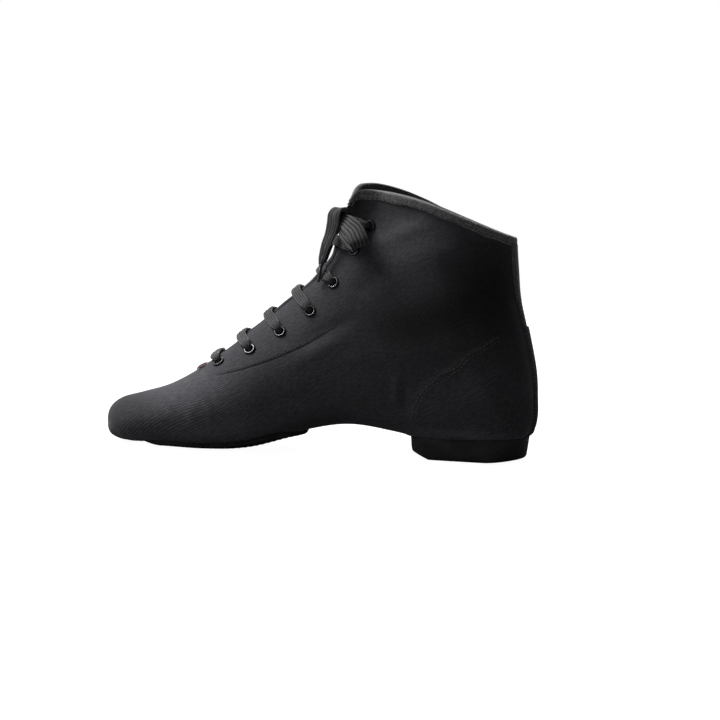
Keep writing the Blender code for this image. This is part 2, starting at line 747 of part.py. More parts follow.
def crossing(s, start, far):
    """A path that leaves row s this far from the throat line and climbs to that line square to it:
    how far it has climbed, and the section number there."""
    reach = np.linspace(start, 0.0, CROSSING_STEPS + 1)
    sections = [s]
    for here, there in zip(reach[:-1], reach[1:]):
        at = sections[-1]
        turn = turn_from_top(at, here, far)
        climb = surface(at, turn_from_top(at, there, far)) - surface(at, turn)
        throat = throat_way(at, turn)
        sections.append(at - float(climb @ throat) / float(throat @ throat))
    return start - reach, np.array(sections)


def bar_half(s, margin, far, square):
    """Half a lace bar, from inside its eyelet to the throat's edge: points, sections, turns and
    widths. A square bar crosses the panel square to the throat, any other keeps to its row."""
    start = float(throat_half(s)) + margin
    climbed, sections = crossing(s, start, far)
    half = []
    for along, height, width in (*BAR_ROUTE, (margin, BAR_EDGE_HEIGHT, BAR_WIDTH)):
        at = float(np.interp(along, climbed, sections)) if square else s
        turn = turn_from_top(at, start - along, far)
        half.append((skin(at, turn, height), at, turn, width))
    return half


def lace_strip(name, stations, cotton, shown):
    """A flat braid through stations, its width lying along the throat."""
    points = np.array([p for p, _, _, _ in stations])
    ahead = np.gradient(points, axis=0)
    ahead /= np.linalg.norm(ahead, axis=1, keepdims=True)
    rings = []
    for (point, s, turn, width), forward in zip(stations, ahead):
        throat = throat_way(s, turn)
        throat -= forward * (throat @ forward)
        throat /= np.linalg.norm(throat)
        up = np.cross(forward, throat)
        rings.append([point + throat * a * width + up * b * LACE_THICK for a, b in BRAID])
    tube(name, np.array(rings), cotton, shown)


def make_lace_rows(cotton, shown):
    """One flat bar across the throat at each row, turned down into its two eyelets. At the top
    row the lace runs from each eyelet to the knot instead."""
    *bars, top_row = eyelet_rows()
    for i, (s, margin) in enumerate(bars, start=1):
        start = float(throat_half(s)) + margin
        top = float(np.mean([crossing(s, start, far)[1][-1] for far in (False, True)]))
        middle = [(skin(top, 0.0, BAR_MIDDLE_HEIGHT), top, 0.0, BAR_WIDTH)]
        near, beyond = (bar_half(s, margin, far, True) for far in (False, True))
        lace_strip(f"lace_bar_{i}", near + middle + beyond[::-1], cotton, shown)
    s, margin = top_row
    for side, far in (("medial", False), ("lateral", True)):
        half = bar_half(s, margin, far, False)
        aim = np.array(STRAND_AIM) + (0.0, STRAND_AIM_ASIDE if far else -STRAND_AIM_ASIDE, 0.0)
        half.append((knot_face(aim, STRAND_CLEAR), s, half[-1][2], STRAND_END_WIDTH))
        lace_strip(f"lace_strand_{side}", half, cotton, shown)


# The bow's knot, and the routes of its cords between their ends at the knot, chosen by hand
KNOT_CENTRE = np.array((3.2, -1.0, 135.2))
KNOT_HALF = np.array((3.8, 4.6, 4.2))
KNOT_SEGMENTS, KNOT_RINGS = 12, 8
CORD_CLEAR = 0.4
STRAND_AIM = (9.2, -1.0, 134.0)
STRAND_AIM_ASIDE = 2.4
LOOP_MEDIAL = (
    (6.6, -10.2, 138.6), (10.2, -16.4, 134.2), (14.0, -20.6, 129.0), (17.4, -22.6, 124.0),
    (18.8, -22.4, 119.8), (16.4, -21.0, 117.8), (12.4, -19.2, 120.4), (8.0, -15.6, 124.8),
    (4.2, -9.8, 128.2),
)
LOOP_LATERAL = (
    (6.6, 8.6, 138.6), (10.2, 15.0, 134.6), (14.0, 19.4, 129.6), (17.4, 21.6, 124.8),
    (18.8, 21.6, 120.6), (16.4, 20.4, 118.6), (12.4, 18.4, 120.8), (8.0, 14.6, 125.0),
    (4.2, 8.0, 128.2),
)
END_MEDIAL = (
    (-2.8, -5.0, 133.2), (-4.4, -6.6, 128.6), (-4.0, -7.0, 123.6), (-4.2, -7.6, 118.2),
    (-5.0, -8.8, 112.4), (-6.0, -10.6, 106.8),
)
END_LATERAL = (
    (-2.8, 3.0, 133.2), (-4.4, 4.6, 128.6), (-4.2, 5.4, 123.6), (-4.7, 6.8, 118.2),
    (-5.8, 8.8, 112.4), (-7.0, 11.0, 107.0),
)


def knot_face(toward, clear=CORD_CLEAR):
    """The point just clear of the knot's surface on the way to another point."""
    way = (np.asarray(toward) - KNOT_CENTRE) / KNOT_HALF
    way /= np.linalg.norm(way)
    out = way / KNOT_HALF
    return KNOT_CENTRE + way * KNOT_HALF + out / np.linalg.norm(out) * clear


def smooth_route(route, count):
    """Points on a smooth curve through a route's own points."""
    p = np.array(route)
    ends = np.vstack([2 * p[0] - p[1], p, 2 * p[-1] - p[-2]])
    at = np.linspace(0, len(p) - 1, count)
    i = np.minimum(at.astype(int), len(p) - 2)
    u = (at - i)[:, None]
    p0, p1, p2, p3 = (ends[i + k] for k in range(4))
    bend = 2 * p0 - 5 * p1 + 4 * p2 - p3
    twist = 3 * p1 - p0 - 3 * p2 + p3
    return 0.5 * (2 * p1 + (p2 - p0) * u + bend * u**2 + twist * u**3)


def cord(name, points, radius, finish, shown):
    curve = bpy.data.curves.new(name, "CURVE")
    curve.dimensions = "3D"
    curve.bevel_depth = radius * MM
    curve.bevel_resolution = 2
    curve.use_fill_caps = True
    line = curve.splines.new("POLY")
    line.points.add(len(points) - 1)
    for spot, p in zip(line.points, points):
        spot.co = (*(np.array(p) * MM), 1.0)
    return add_object(name, curve, finish, shown)


def make_bow(cotton, plastic, shown):
    """The knot, its two loops and its two tipped ends."""
    bpy.ops.mesh.primitive_uv_sphere_add(segments=KNOT_SEGMENTS, ring_count=KNOT_RINGS, radius=1.0)
    knot = moved_to(shown, bpy.context.object, "lace_knot")
    knot.data.transform(Matrix.Diagonal((*(KNOT_HALF * MM), 1.0)))
    knot.data.materials.append(cotton)
    knot.data.shade_smooth()
    knot.location = KNOT_CENTRE * MM
    for side, route in (("medial", LOOP_MEDIAL), ("lateral", LOOP_LATERAL)):
        whole = [knot_face(route[0]), *route, knot_face(route[-1])]
        cord(f"lace_loop_{side}", smooth_route(whole, LOOP_POINTS), LACE_ROUND_R, cotton, shown)
    for side, route in (("medial", END_MEDIAL), ("lateral", END_LATERAL)):
        points = smooth_route([knot_face(route[0]), *route], END_POINTS)
        cord(f"lace_end_{side}", points, LACE_ROUND_R, cotton, shown)
        way = points[-1] - points[-2]
        way /= np.linalg.norm(way)
        start = points[-1] + way * GAP
        cord(f"aglet_{side}", [start, start + way * AGLET_LENGTH], AGLET_R, plastic, shown)


def build():
    clear_scene()
    shown = collection("jazz_boot")
    cutters = collection("punches", shown=False)
    forms = collection("forms", shown=False)
    canvas = material("black_canvas_twill", (0.012, 0.012, 0.014), 0.85)
    tape = material("black_cotton_tape", (0.014, 0.014, 0.015), 0.8)
    rubber = material("black_rubber", (0.006, 0.006, 0.006), 0.6)
    cloth = material("black_insole_cloth", (0.012, 0.012, 0.012), 0.9)
    cotton = material("black_cotton_lace", (0.025, 0.025, 0.026), 0.85)
    metal = material("gunmetal_eyelet", (0.09, 0.09, 0.095), 0.3, 1.0)
    plastic = material("black_aglet", (0.03, 0.03, 0.035), 0.35)
    make_upper(canvas, shown, cutters)
    make_insole(cloth, shown)
    make_forefoot_sole(rubber, shown)
    make_heel(rubber, shown, forms)
    make_tongue(canvas, shown)
    make_binding(tape, shown)
    make_backstay(tape, shown)
    make_eyelets(metal, shown, cutters)
    make_lace_rows(cotton, shown)
    make_bow(cotton, plastic, shown)
    middle = bpy.data.objects.new("boot_middle", None)
    middle.location = Vector(CENTRE_SHIFT) * MM
    bpy.context.scene.collection.objects.link(middle)
    for obj in (*shown.objects, *cutters.objects, *forms.objects):
        obj.parent = middle


build()
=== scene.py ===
import math

import bpy
import numpy as np
from mathutils import Matrix, Vector


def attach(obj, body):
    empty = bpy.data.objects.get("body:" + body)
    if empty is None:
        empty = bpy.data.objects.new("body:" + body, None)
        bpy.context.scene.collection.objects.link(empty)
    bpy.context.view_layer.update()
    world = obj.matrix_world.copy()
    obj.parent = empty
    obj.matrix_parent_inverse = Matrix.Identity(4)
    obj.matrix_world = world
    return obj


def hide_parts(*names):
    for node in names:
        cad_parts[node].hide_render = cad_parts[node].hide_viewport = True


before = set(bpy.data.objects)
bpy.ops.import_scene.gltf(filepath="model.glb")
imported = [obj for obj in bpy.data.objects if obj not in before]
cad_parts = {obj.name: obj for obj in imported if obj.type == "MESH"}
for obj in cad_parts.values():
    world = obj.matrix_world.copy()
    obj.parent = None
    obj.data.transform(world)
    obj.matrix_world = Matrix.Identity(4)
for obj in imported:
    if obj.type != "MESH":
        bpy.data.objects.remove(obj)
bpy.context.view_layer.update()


# Studio. The boot stands on a sheet of white paper in a white room. Wide soft lamps light it from the
# upper left and from behind, weaker ones from in front, and the camera looks at its medial side from
# close to the floor, rolled.

MM = 0.001
CENTRE = np.array((1.25, -0.2, 0.0))


def lay(points):
    """Millimetres from the sections' own origin, under the ankle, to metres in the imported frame."""
    return (np.asarray(points, float) + CENTRE) * MM


def linear(code):
    """An sRGB hex colour as linear red, green, blue and full opacity, by the sRGB curve."""
    c = np.array([int(code[k:k + 2], 16) for k in (1, 3, 5)]) / 255.0
    c = np.where(c <= 0.04045, c / 12.92, ((c + 0.055) / 1.055) ** 2.4)
    return (*c.tolist(), 1.0)


# The output that is used of a kind of node, where it isn't the first
USED_OUTPUT = {
    "TexCoord": "Object", "TexWave": 1, "Mix": 2, "Attribute": "Fac", "SeparateXYZ": 1,
    "LightPath": "Is Camera Ray",
}


def plug(tree, made, inputs):
    """Links a node's inputs, named or numbered, to sockets, or sets them to hex colours or values."""
    for key, value in inputs.items():
        if isinstance(value, bpy.types.NodeSocket):
            tree.links.new(value, made.inputs[key])
        else:
            made.inputs[key].default_value = linear(value) if isinstance(value, str) else value


def node(tree, kind, settings=None, inputs=None):
    """Adds a node with its own settings and inputs, and gives the output that is used of it."""
    made = tree.nodes.new("ShaderNode" + kind)
    for key, value in (settings or {}).items():
        setattr(made, key, value)
    plug(tree, made, inputs or {})
    return made.outputs[USED_OUTPUT.get(kind, 0)] if made.outputs else made


def finish_of(name, sockets):
    """A new material: its node tree and its shader, with the values that hold all over set on it."""
    made = bpy.data.materials.new(name)
    made.use_nodes = True
    shader = made.node_tree.nodes["Principled BSDF"]
    plug(made.node_tree, shader, sockets)
    return made, made.node_tree, shader


def mottled(name, sockets, grain, detail, dark, light):
    """A new material whose colour a noise of a grain in millimetres shifts between dark and light: the
    material, its node tree, its shader and the noise."""
    made, tree, shader = finish_of(name, sockets)
    place = node(tree, "TexCoord")
    noise = node(tree, "TexNoise", inputs={"Vector": place, "Scale": 1 / (grain * MM), "Detail": detail})
    tint = node(tree, "Mix", {"data_type": "RGBA"}, {0: noise, 6: dark, 7: light})
    plug(tree, shader, {"Base Color": tint})
    return made, tree, shader, noise


PICTURE = 720.0
FOCAL = 1712.6
AXIS_PX = (329.05, 320.74)
SENSOR = 36.0
AIM = np.array((0.0, 0.0, 75.0))
AZIMUTH, ELEVATION, ROLL = (math.radians(a) for a in (4.0, 4.5, 2.66))
CAMERA_AWAY = 1000.0

back = np.array((
    math.sin(AZIMUTH) * math.cos(ELEVATION),
    -math.cos(AZIMUTH) * math.cos(ELEVATION),
    math.sin(ELEVATION),
))
right = np.array((math.cos(AZIMUTH), math.sin(AZIMUTH), 0.0))
up = np.cross(back, right)
camera_data = bpy.data.cameras.new("photo_camera")
camera_data.sensor_width = SENSOR
camera_data.lens = FOCAL * SENSOR / PICTURE
camera_data.shift_x = 0.5 - AXIS_PX[0] / PICTURE
camera_data.shift_y = AXIS_PX[1] / PICTURE - 0.5
camera_data.clip_start = 0.02
camera = bpy.data.objects.new("photo_camera", camera_data)
turned = np.eye(4)
turned[:3, 0] = right * math.cos(ROLL) + up * math.sin(ROLL)
turned[:3, 1] = up * math.cos(ROLL) - right * math.sin(ROLL)
turned[:3, 2] = back
turned[:3, 3] = lay(AIM + back * CAMERA_AWAY)
camera.matrix_world = Matrix(turned.tolist())
bpy.context.scene.collection.objects.link(camera)
bpy.context.scene.camera = camera
bpy.context.scene.view_settings.view_transform = "Standard"

# Each lamp: the way towards it, its strength and how wide it looks from the boot, in degrees
LAMPS = {
    "key_upper_left": ((-0.62, 0.12, 0.77), 6.0, 38.0),
    "side_behind": ((0.12, 0.86, 0.48), 1.5, 60.0),
    "fill_front": ((-0.80, -0.50, 0.30), 0.36, 34.0),
    "glint_front": ((-0.35, -0.75, 0.55), 0.07, 10.0),
}
for lamp_name, (toward, strength, spread) in LAMPS.items():
    lamp_data = bpy.data.lights.new(lamp_name, "SUN")
    lamp_data.energy = strength
    lamp_data.angle = math.radians(spread)
    lamp = bpy.data.objects.new(lamp_name, lamp_data)
    lamp.rotation_euler = Vector(toward).to_track_quat("Z", "Y").to_euler()
    bpy.context.scene.collection.objects.link(lamp)

# The room is white where it is looked at, and lights the boot only dimly
room = bpy.data.worlds.new("white_room")
room.use_nodes = True
bpy.context.scene.world = room
tree = room.node_tree
tree.nodes.clear()
seen = node(tree, "Background", inputs={"Color": "#ffffff", "Strength": 1.0})
dim = node(tree, "Background", inputs={"Color": "#eceef4", "Strength": 0.05})
looked_at = node(tree, "LightPath")
both = node(tree, "MixShader", inputs={
    0: looked_at, 1: dim, 2: seen})
node(tree, "OutputWorld", inputs={"Surface": both})

# White paper on a light table: dull, with the faintest tooth, and so bright from below that shadows hardly
# show. It is seen so, but throws little light back on the boot.
FLOOR_HALF, FLOOR_BELOW = 1500.0, 0.4
paper, tree, shader, _ = mottled("white_paper", {
    "Roughness": 0.9, "Specular IOR Level": 0.1, "Emission Color": "#ffffff",
    "Emission Strength": 0.97}, 2.0, 3.0, "#868686", "#8e8e8e")
looked_at = node(tree, "LightPath")
dark = node(tree, "BsdfDiffuse", inputs={"Color": "#7a7a7a"})
both = node(tree, "MixShader", inputs={
    0: looked_at, 1: dark, 2: shader.outputs[0]})
plug(tree, tree.nodes["Material Output"], {"Surface": both})
floor_data = bpy.data.meshes.new("paper_floor")
floor_data.from_pydata(
    [(x * FLOOR_HALF * MM, y * FLOOR_HALF * MM, -FLOOR_BELOW * MM)
     for x, y in ((-1, -1), (1, -1), (1, 1), (-1, 1))],
    [], [(0, 1, 2, 3)])
floor_data.materials.append(paper)
floor = bpy.data.objects.new("paper_floor", floor_data)
bpy.context.scene.collection.objects.link(floor)


# Upper. One shell of black cotton twill canvas drawn over a last and turned under at the sole: vamp,
# quarters and a lacing panel lapped over the vamp, with a stiff counter sewn into the heel.

COLUMNS = (
    "top_x", "top_z", "low_x", "low_z", "top_y", "low_y", "near", "far", "wide", "crown", "square",
)
SECTIONS = {
    "tip": (-126.2, 12.8, -126.2, 12.8, -9.0, -9.0, 0.0, 0.0, 0.50, 2.00, 2.0),
    "nose": (-124.4, 19.6, -124.2, 6.2, -9.0, -9.0, 11.0, 11.5, 0.50, 2.00, 2.0),
    "toe": (-118.2, 24.8, -117.4, 3.2, -8.5, -8.5, 20.5, 20.5, 0.54, 2.00, 2.2),
    "toe_box": (-106.4, 28.5, -106.0, 2.7, -8.0, -7.5, 28.5, 29.5, 0.60, 2.10, 2.7),
    "vamp": (-90.0, 34.2, -88.0, 3.2, -6.5, -5.0, 34.5, 37.5, 0.64, 2.05, 3.6),
    "ball": (-71.5, 45.8, -66.0, 3.2, -5.0, -2.0, 38.5, 42.5, 0.68, 1.85, 4.4),
    "instep_low": (-51.1, 62.7, -44.0, 4.0, -4.0, 0.0, 37.5, 43.0, 0.68, 1.65, 4.0),
    "instep": (-30.1, 81.2, -18.0, 9.2, -3.0, 2.0, 34.0, 40.0, 0.65, 1.55, 3.0),
    "waist": (-10.7, 99.1, 13.0, 15.2, -2.0, 2.5, 30.5, 36.0, 0.60, 1.52, 2.6),
    "shank": (-1.0, 112.0, 42.0, 13.4, -1.0, 1.5, 30.5, 33.0, 0.58, 1.52, 4.0),
    "heel_front": (2.2, 121.3, 70.0, 9.4, 0.0, 0.5, 31.0, 32.0, 0.57, 1.52, 7.5),
    "heel_seat": (4.2, 129.0, 99.0, 9.6, 0.0, 0.0, 31.0, 31.5, 0.57, 1.52, 7.5),
    "heel_corner": (5.6, 135.2, 119.2, 17.5, 0.0, 0.0, 31.5, 31.5, 0.56, 1.54, 3.0),
    "heel_bulge": (6.8, 140.0, 121.4, 40.0, 0.0, 0.0, 31.5, 31.5, 0.55, 1.56, 2.4),
    "heel_upper": (8.0, 143.8, 117.4, 63.0, 0.0, 0.0, 31.0, 31.0, 0.54, 1.58, 2.2),
    "achilles": (9.2, 147.0, 110.8, 88.0, 0.0, 0.0, 30.5, 30.5, 0.52, 1.60, 2.1),
    "shaft": (10.4, 149.7, 107.8, 108.8, 0.0, 0.0, 30.0, 30.0, 0.50, 1.62, 2.0),
    "collar": (11.6, 152.0, 106.0, 128.2, 0.0, 0.0, 30.0, 30.0, 0.50, 1.64, 2.0),
}
TABLE = np.array(list(SECTIONS.values()))
COLLAR = float(len(TABLE) - 1)
COLLAR_RISE, CORNER_DROP, CORNER_TURN, LATERAL_LIFT, RISE_FROM = 4.0, 5.5, 0.62, 4.0, 14.0
LIFT_BEGINS, LIFT_FULL, LIFT_ENDS = 0.3, 0.5, 1.7
WALL = 1.6


def curve_through(p, at):
    """Points on a Catmull-Rom curve through the rows of p, at numbers that count the rows."""
    p = np.asarray(p, float)
    ends = np.concatenate([[2 * p[0] - p[1]], p, [2 * p[-1] - p[-2]]])
    i = np.clip(np.floor(at).astype(int), 0, len(p) - 2)
    u = at - i
    u = u.reshape(u.shape + (1,) * (p.ndim - 1))
    p0, p1, p2, p3 = (ends[i + k] for k in range(4))
    bend = 2 * p0 - 5 * p1 + 4 * p2 - p3
    twist = 3 * p1 - p0 - 3 * p2 + p3
    return 0.5 * (2 * p1 + (p2 - p0) * u + bend * u**2 + twist * u**3)


def column(name, s):
    """One column of the sections' table at section number s."""
    return curve_through(TABLE[:, COLUMNS.index(name)], s)


def step(x, low, high):
    """A smooth step: 0 up to low, 1 from high, and the cubic 3u^2 - 2u^3 between."""
    u = np.clip((x - low) / (high - low), 0.0, 1.0)
    return u * u * (3.0 - 2.0 * u)


def folded(turn):
    """The turn counted from the throat line on either side, and whether it is the medial side."""
    turn = np.mod(turn, 2 * math.pi)
    near = turn <= math.pi
    return np.where(near, turn, 2 * math.pi - turn), near


def paired(s, turn):
    """Section numbers and turns as arrays of one shape."""
    return np.broadcast_arrays(np.asarray(s, float), np.asarray(turn, float))


def last(s, turn):
    """The last's surface: section s is two half superellipses, above and below its widest line, on a
    plane through its top and low points; turn runs from the throat line (0) over the medial side to
    the sole or back seam (pi), and over the lateral side back to 2 pi."""
    s, turn = paired(s, turn)
    phi, near = folded(turn)
    above = phi < math.pi / 2
    power = 2.0 / np.where(above, column("crown", s), column("square", s))
    along = np.abs(np.cos(phi)) ** power
    wide = column("wide", s)
    down = np.where(above, wide * (1 - along), wide + (1 - wide) * along)
    half = np.where(near, -column("near", s), column("far", s))
    x = column("top_x", s) * (1 - down) + column("low_x", s) * down
    y = column("top_y", s) * (1 - down) + column("low_y", s) * down + half * np.sin(phi) ** power
    z = column("top_z", s) * (1 - down) + column("low_z", s) * down
    bow = COLLAR_RISE * np.sin(phi) ** 2 * (1 + np.cos(phi))
    corner = CORNER_DROP * np.clip(1 - phi / CORNER_TURN, 0, 1) ** 2
    lift = LATERAL_LIFT * step(phi, 0.0, LIFT_BEGINS) * (1 - step(phi, LIFT_FULL, LIFT_ENDS)) * ~near
    rise = (bow - corner + lift) * step(s, RISE_FROM, COLLAR)
    lean = math.atan2(TABLE[-1, 1] - TABLE[-1, 3], TABLE[-1, 2] - TABLE[-1, 0])
    return np.stack([x + rise * math.sin(lean), y, z + rise * math.cos(lean)], axis=-1)


def unit(v):
    """Vectors made one long."""
    return v / np.maximum(np.linalg.norm(v, axis=-1, keepdims=True), 1e-9)


def outward(s, turn):
    """The last's outward unit normals: the cross product of its slopes along turn and along s."""
    s, turn = paired(s, turn)
    h = 1e-3
    over = last(np.minimum(s + h, COLLAR), turn) - last(np.maximum(s - h, 0.0), turn)
    return unit(np.cross(last(s, turn + h) - last(s, turn - h), over))


def run_along(path):
    """Distance run at each point of a path, or of each row of a grid: lengths of its steps, added up."""
    steps = np.linalg.norm(np.diff(path, axis=-2), axis=-1)
    return np.concatenate([np.zeros_like(steps[..., :1]), np.cumsum(steps, axis=-1)], axis=-1)


# How far round each section a turn lies, with more turns sampled where boxy sections bend sharply
RING_S = np.linspace(0.0, COLLAR, 341)
bunched = np.linspace(-1.0, 1.0, 241)
RING_PHI = np.unique(np.concatenate([
    np.linspace(0.0, math.pi, 241), math.pi / 2 * (1 + np.sign(bunched) * bunched**4)]))
RING_ARC = [run_along(last(RING_S[:, None], turn)) for turn in (RING_PHI, 2 * math.pi - RING_PHI)]


def from_throat(s, turn):
    """How far round its section a point lies from the throat line, by bilinear lookup."""
    phi, near = folded(turn)
    a = np.clip(s / COLLAR * (len(RING_S) - 1), 0, len(RING_S) - 1.001)
    b = np.clip(np.interp(phi, RING_PHI, np.arange(len(RING_PHI))), 0, len(RING_PHI) - 1.001)
    i, j = a.astype(int), b.astype(int)
    u, v = a - i, b - j
    found = []
    for arc in RING_ARC:
        first = arc[i, j] * (1 - v) + arc[i, j + 1] * v
        found.append(first * (1 - u) + (arc[i + 1, j] * (1 - v) + arc[i + 1, j + 1] * v) * u)
    return np.where(near, found[0], found[1])


def turn_at(s, distance, far=False, low=False):
    """Turns that lie at distances (rows by columns) from the throat line of each section in s, or
    from its low line, on the medial or the far side."""
    turns = []
    for at, want in zip(np.asarray(s, float), np.asarray(distance, float)):
        i = min(int(at / COLLAR * (len(RING_S) - 1)), len(RING_S) - 2)
        u = at / COLLAR * (len(RING_S) - 1) - i
        arc = RING_ARC[far][i] * (1 - u) + RING_ARC[far][i + 1] * u
        phi = np.interp(arc[-1] - want if low else want, arc, RING_PHI)
        turns.append(2 * math.pi - phi if far else phi)
    return np.array(turns)


THROAT_START, THROAT_ROUND, THROAT_HALF_LOW, THROAT_HALF_TOP = 5.0, 0.5, 5.0, 8.0


def throat_half(s):
    """Half the throat's width: a square root at its round base, then a slow widening."""
    opened = np.sqrt(np.clip((s - THROAT_START) / THROAT_ROUND, 0.0, 1.0))
    share = np.clip((s - THROAT_START) / (COLLAR - THROAT_START), 0.0, 1.0)
    return opened * (THROAT_HALF_LOW + (THROAT_HALF_TOP - THROAT_HALF_LOW) * share)


# The lacing panel's lapped edge, as section number and turn, and how far it stands out
PANEL_EDGE = np.array((
    (4.95, 0.14), (5.18, 0.54), (5.40, 0.76), (6.05, 0.88), (6.86, 1.00), (7.70, 1.06), (8.60, 1.04)))
PANEL_RAISED, PANEL_ROLL, PANEL_GROOVE = 0.24, 0.06, 0.14
PANEL_FRONT, PANEL_BACK, PANEL_LAP = (5.15, 5.75), (7.6, 8.8), (-0.45, 0.25)
PANEL_ROLL_AT, PANEL_ROLL_HALF, PANEL_GROOVE_AT, PANEL_GROOVE_HALF = -0.9, 0.7, 0.55, 0.5


def panel_edge(s):
    """The turn of the panel's edge: the table read along straight lines, averaged over a short way."""
    return sum(np.interp(s + d, *PANEL_EDGE.T) for d in (-0.16, -0.08, 0.0, 0.08, 0.16)) / 5


# Creases and folds in the side view: side (-1 medial, 1 lateral, 0 both), half width, height (below
# nought for a trough) and the points that the fold runs through, along and up
FOLDS = (
    (-1, 2.2, 0.75, ((42.2, 50.0), (41.7, 42.2), (41.9, 38.2), (42.4, 30.0))),
    (-1, 1.7, -0.8, ((47.6, 48.0), (47.3, 43.0), (46.8, 38.5), (46.0, 25.5))),
    (1, 2.4, 0.6, ((40.5, 48.0), (41.0, 38.2), (42.0, 30.0))),
    (1, 1.9, -0.7, ((46.0, 46.0), (46.4, 38.5), (46.0, 27.0))),
    (-1, 5.0, 1.1, ((20.0, 118.0), (25.6, 121.0), (44.2, 130.1), (62.0, 137.0))),
    (-1, 3.4, 0.6, ((56.0, 117.5), (60.5, 119.2), (79.8, 122.9), (88.0, 123.5))),
    (-1, 3.0, -0.8, ((72.0, 128.0), (78.0, 126.6), (90.0, 125.8), (102.2, 124.8))),
    (0, 2.2, -0.55, ((86.0, 96.6), (93.2, 95.8), (104.8, 95.0), (110.0, 95.5))),
    (0, 2.6, 0.5, ((84.0, 91.6), (93.2, 91.0), (104.8, 90.2), (110.0, 90.5))),
    (-1, 4.2, -0.7, ((-20.0, 59.0), (-13.9, 62.5), (-2.0, 69.0), (10.8, 76.9), (20.0, 83.0))),
    (-1, 5.0, 0.6, ((-24.0, 51.0), (-12.0, 55.0), (2.0, 63.0), (14.0, 71.0))),
    (-1, 6.0, -0.9, ((28.0, 108.0), (22.0, 100.0), (18.0, 90.0))),
    (1, 6.0, 0.8, ((20.0, 116.0), (40.0, 126.0), (58.0, 134.0))),
    (1, 5.0, -0.8, ((-16.0, 60.0), (-2.0, 68.0), (14.0, 78.0))),
    (0, 2.6, -0.45, ((-84.0, 27.0), (-78.0, 20.0), (-74.0, 14.0))),
    (0, 2.8, 0.40, ((-79.0, 29.0), (-73.0, 21.0), (-69.0, 14.0))),
    (-1, 2.4, -0.35, ((-62.0, 24.0), (-56.0, 18.0), (-53.0, 13.0))),
)
FOLD_FADE = 0.3
# Wide shallow hollows and swells: side, middle along and up, half sizes along and up, height
SWELLS = (
    (-1, 84.0, 108.0, 22.0, 13.0, -1.6),
    (1, 82.0, 108.0, 20.0, 13.0, -1.2),
    (-1, 22.0, 72.0, 16.0, 11.0, -0.9),
    (-1, 62.0, 92.0, 18.0, 12.0, 0.7),
    (-1, 30.0, 30.0, 14.0, 9.0, -0.8),
    (1, 28.0, 34.0, 16.0, 10.0, -0.8),
    (0, 92.0, 42.0, 20.0, 15.0, 0.6),
)
COUNTER = (
    (49.6, 14.0), (50.0, 23.3), (50.7, 29.2), (52.1, 35.5), (57.0, 44.0), (63.0, 50.0), (71.0, 56.3),
    (79.8, 62.5), (85.7, 66.7), (96.0, 73.4), (103.0, 76.2), (110.4, 77.0), (124.0, 77.5),
)
COUNTER_RAISED, COUNTER_LAP, COUNTER_FROM = 0.45, (-0.3, 0.5), (9.0, 9.6)
COUNTER_GROOVE, COUNTER_GROOVE_AT, COUNTER_GROOVE_HALF = 0.35, -0.6, 0.6
HEEL_BREAST_X, HEEL_BACK_X, HEEL_TOP_FRONT, HEEL_TOP_BACK = 51.5, 120.2, 12.6, 15.4
HEEL_HALF_WIDTH, HEEL_ROUNDNESS = 26.0, 1.06
MARGIN_UP, MARGIN_HALF, MARGIN_RAISED, MARGIN_ALONG, MARGIN_ROUND = 2.6, 1.6, 0.5, (45.5, 55.5), (1.6, 1.8)
SOLE_FROM, SOLE_TO, SOLE_REACH = 2.85, 7.28, 0.84
# The rand beside the sole and the chin under the toe: how far out, and the sections and turns where each
# begins and ends
RAND_OUT, RAND_MIDDLE, RAND_HALF = 1.3, 2.0, 2.4
RAND_FRONT, RAND_BACK, RAND_ROUND = (3.0, 3.9), (6.3, 7.1), (1.4, 1.6)
CHIN_OUT, CHIN_FRONT, CHIN_BACK, CHIN_ROUND = 1.9, (0.5, 1.5), (3.0, 4.2), (1.8, 2.6)
# The toe's pleats fan out about a centre, and end by height, along the foot and by section
PLEATS, PLEAT_STRAYS, PLEAT_STRAY, PLEAT_RAISED, PLEAT_CENTRE = 25.0, 5.0, 1.3, 0.35, (-92.0, -8.0)
PLEAT_HIGH, PLEAT_BACK, PLEAT_FRONT = (3.2, 10.5), (-112.0, -98.0), (0.6, 1.2)
# Slow waves in the canvas: height, lengths along and up over a full turn, lag, and where they begin
WAVES = ((0.20, 6.3, 9.1, 0.0), (0.16, 11.0, -5.2, 1.0), (0.10, 3.4, 4.4, 2.2))
WAVES_FRONT, WAVES_UP = (4.0, 7.0), (14.0, 26.0)
# The medial collar: how far its upper front has sunk in, how far its front edge has moved forward, and
# the corner that hangs open beyond a slanting fold line
SINK, SINK_UP, SINK_MIDDLE, SINK_HALF = 5.0, (98.0, 146.0), 36.0, 30.0
FORWARD_NEAR, FORWARD_FAR, FORWARD_UP, FORWARD_HALF = 3.6, 3.0, (133.0, 141.0), 9.0
LAPEL_UP, LAPEL_BEND, LAPEL_ROUND = (130.0, 137.0), 3.0, 1.2
LAPEL_HOLLOW_UP, LAPEL_HOLLOW_AT = (132.0, 142.0), -0.5
LAPEL_TOP, LAPEL_LOW = np.array((25.5, 151.0)), np.array((10.8, 136.6))
LAPEL_EASE, LAPEL_REACH, LAPEL_OUT, LAPEL_HOLLOW, LAPEL_HOLLOW_HALF = 8.0, 15.3, 9.0, 0.5, 5.0
# The collar's two front corners: how far they droop, and over how much of the collar's edge
DROOP_NEAR, DROOP_NEAR_REACH, DROOP_FAR, DROOP_FAR_REACH = 5.8, 9.0, 5.0, 6.5
DROOP_FROM, DROOP_BEND = 13.5, 2.2
# Where the canvas is lifted over the heel block: the share of its outline, along the foot, how far down
# the canvas faces, below which height, and how far it laps over the block's top edge
SEAT_SHARE, SEAT_ALONG, SEAT_FACING, SEAT_UNDER, SEAT_LAP = (0.84, 0.98), (46.5, 52.5), 0.3, 30.0, 0.2


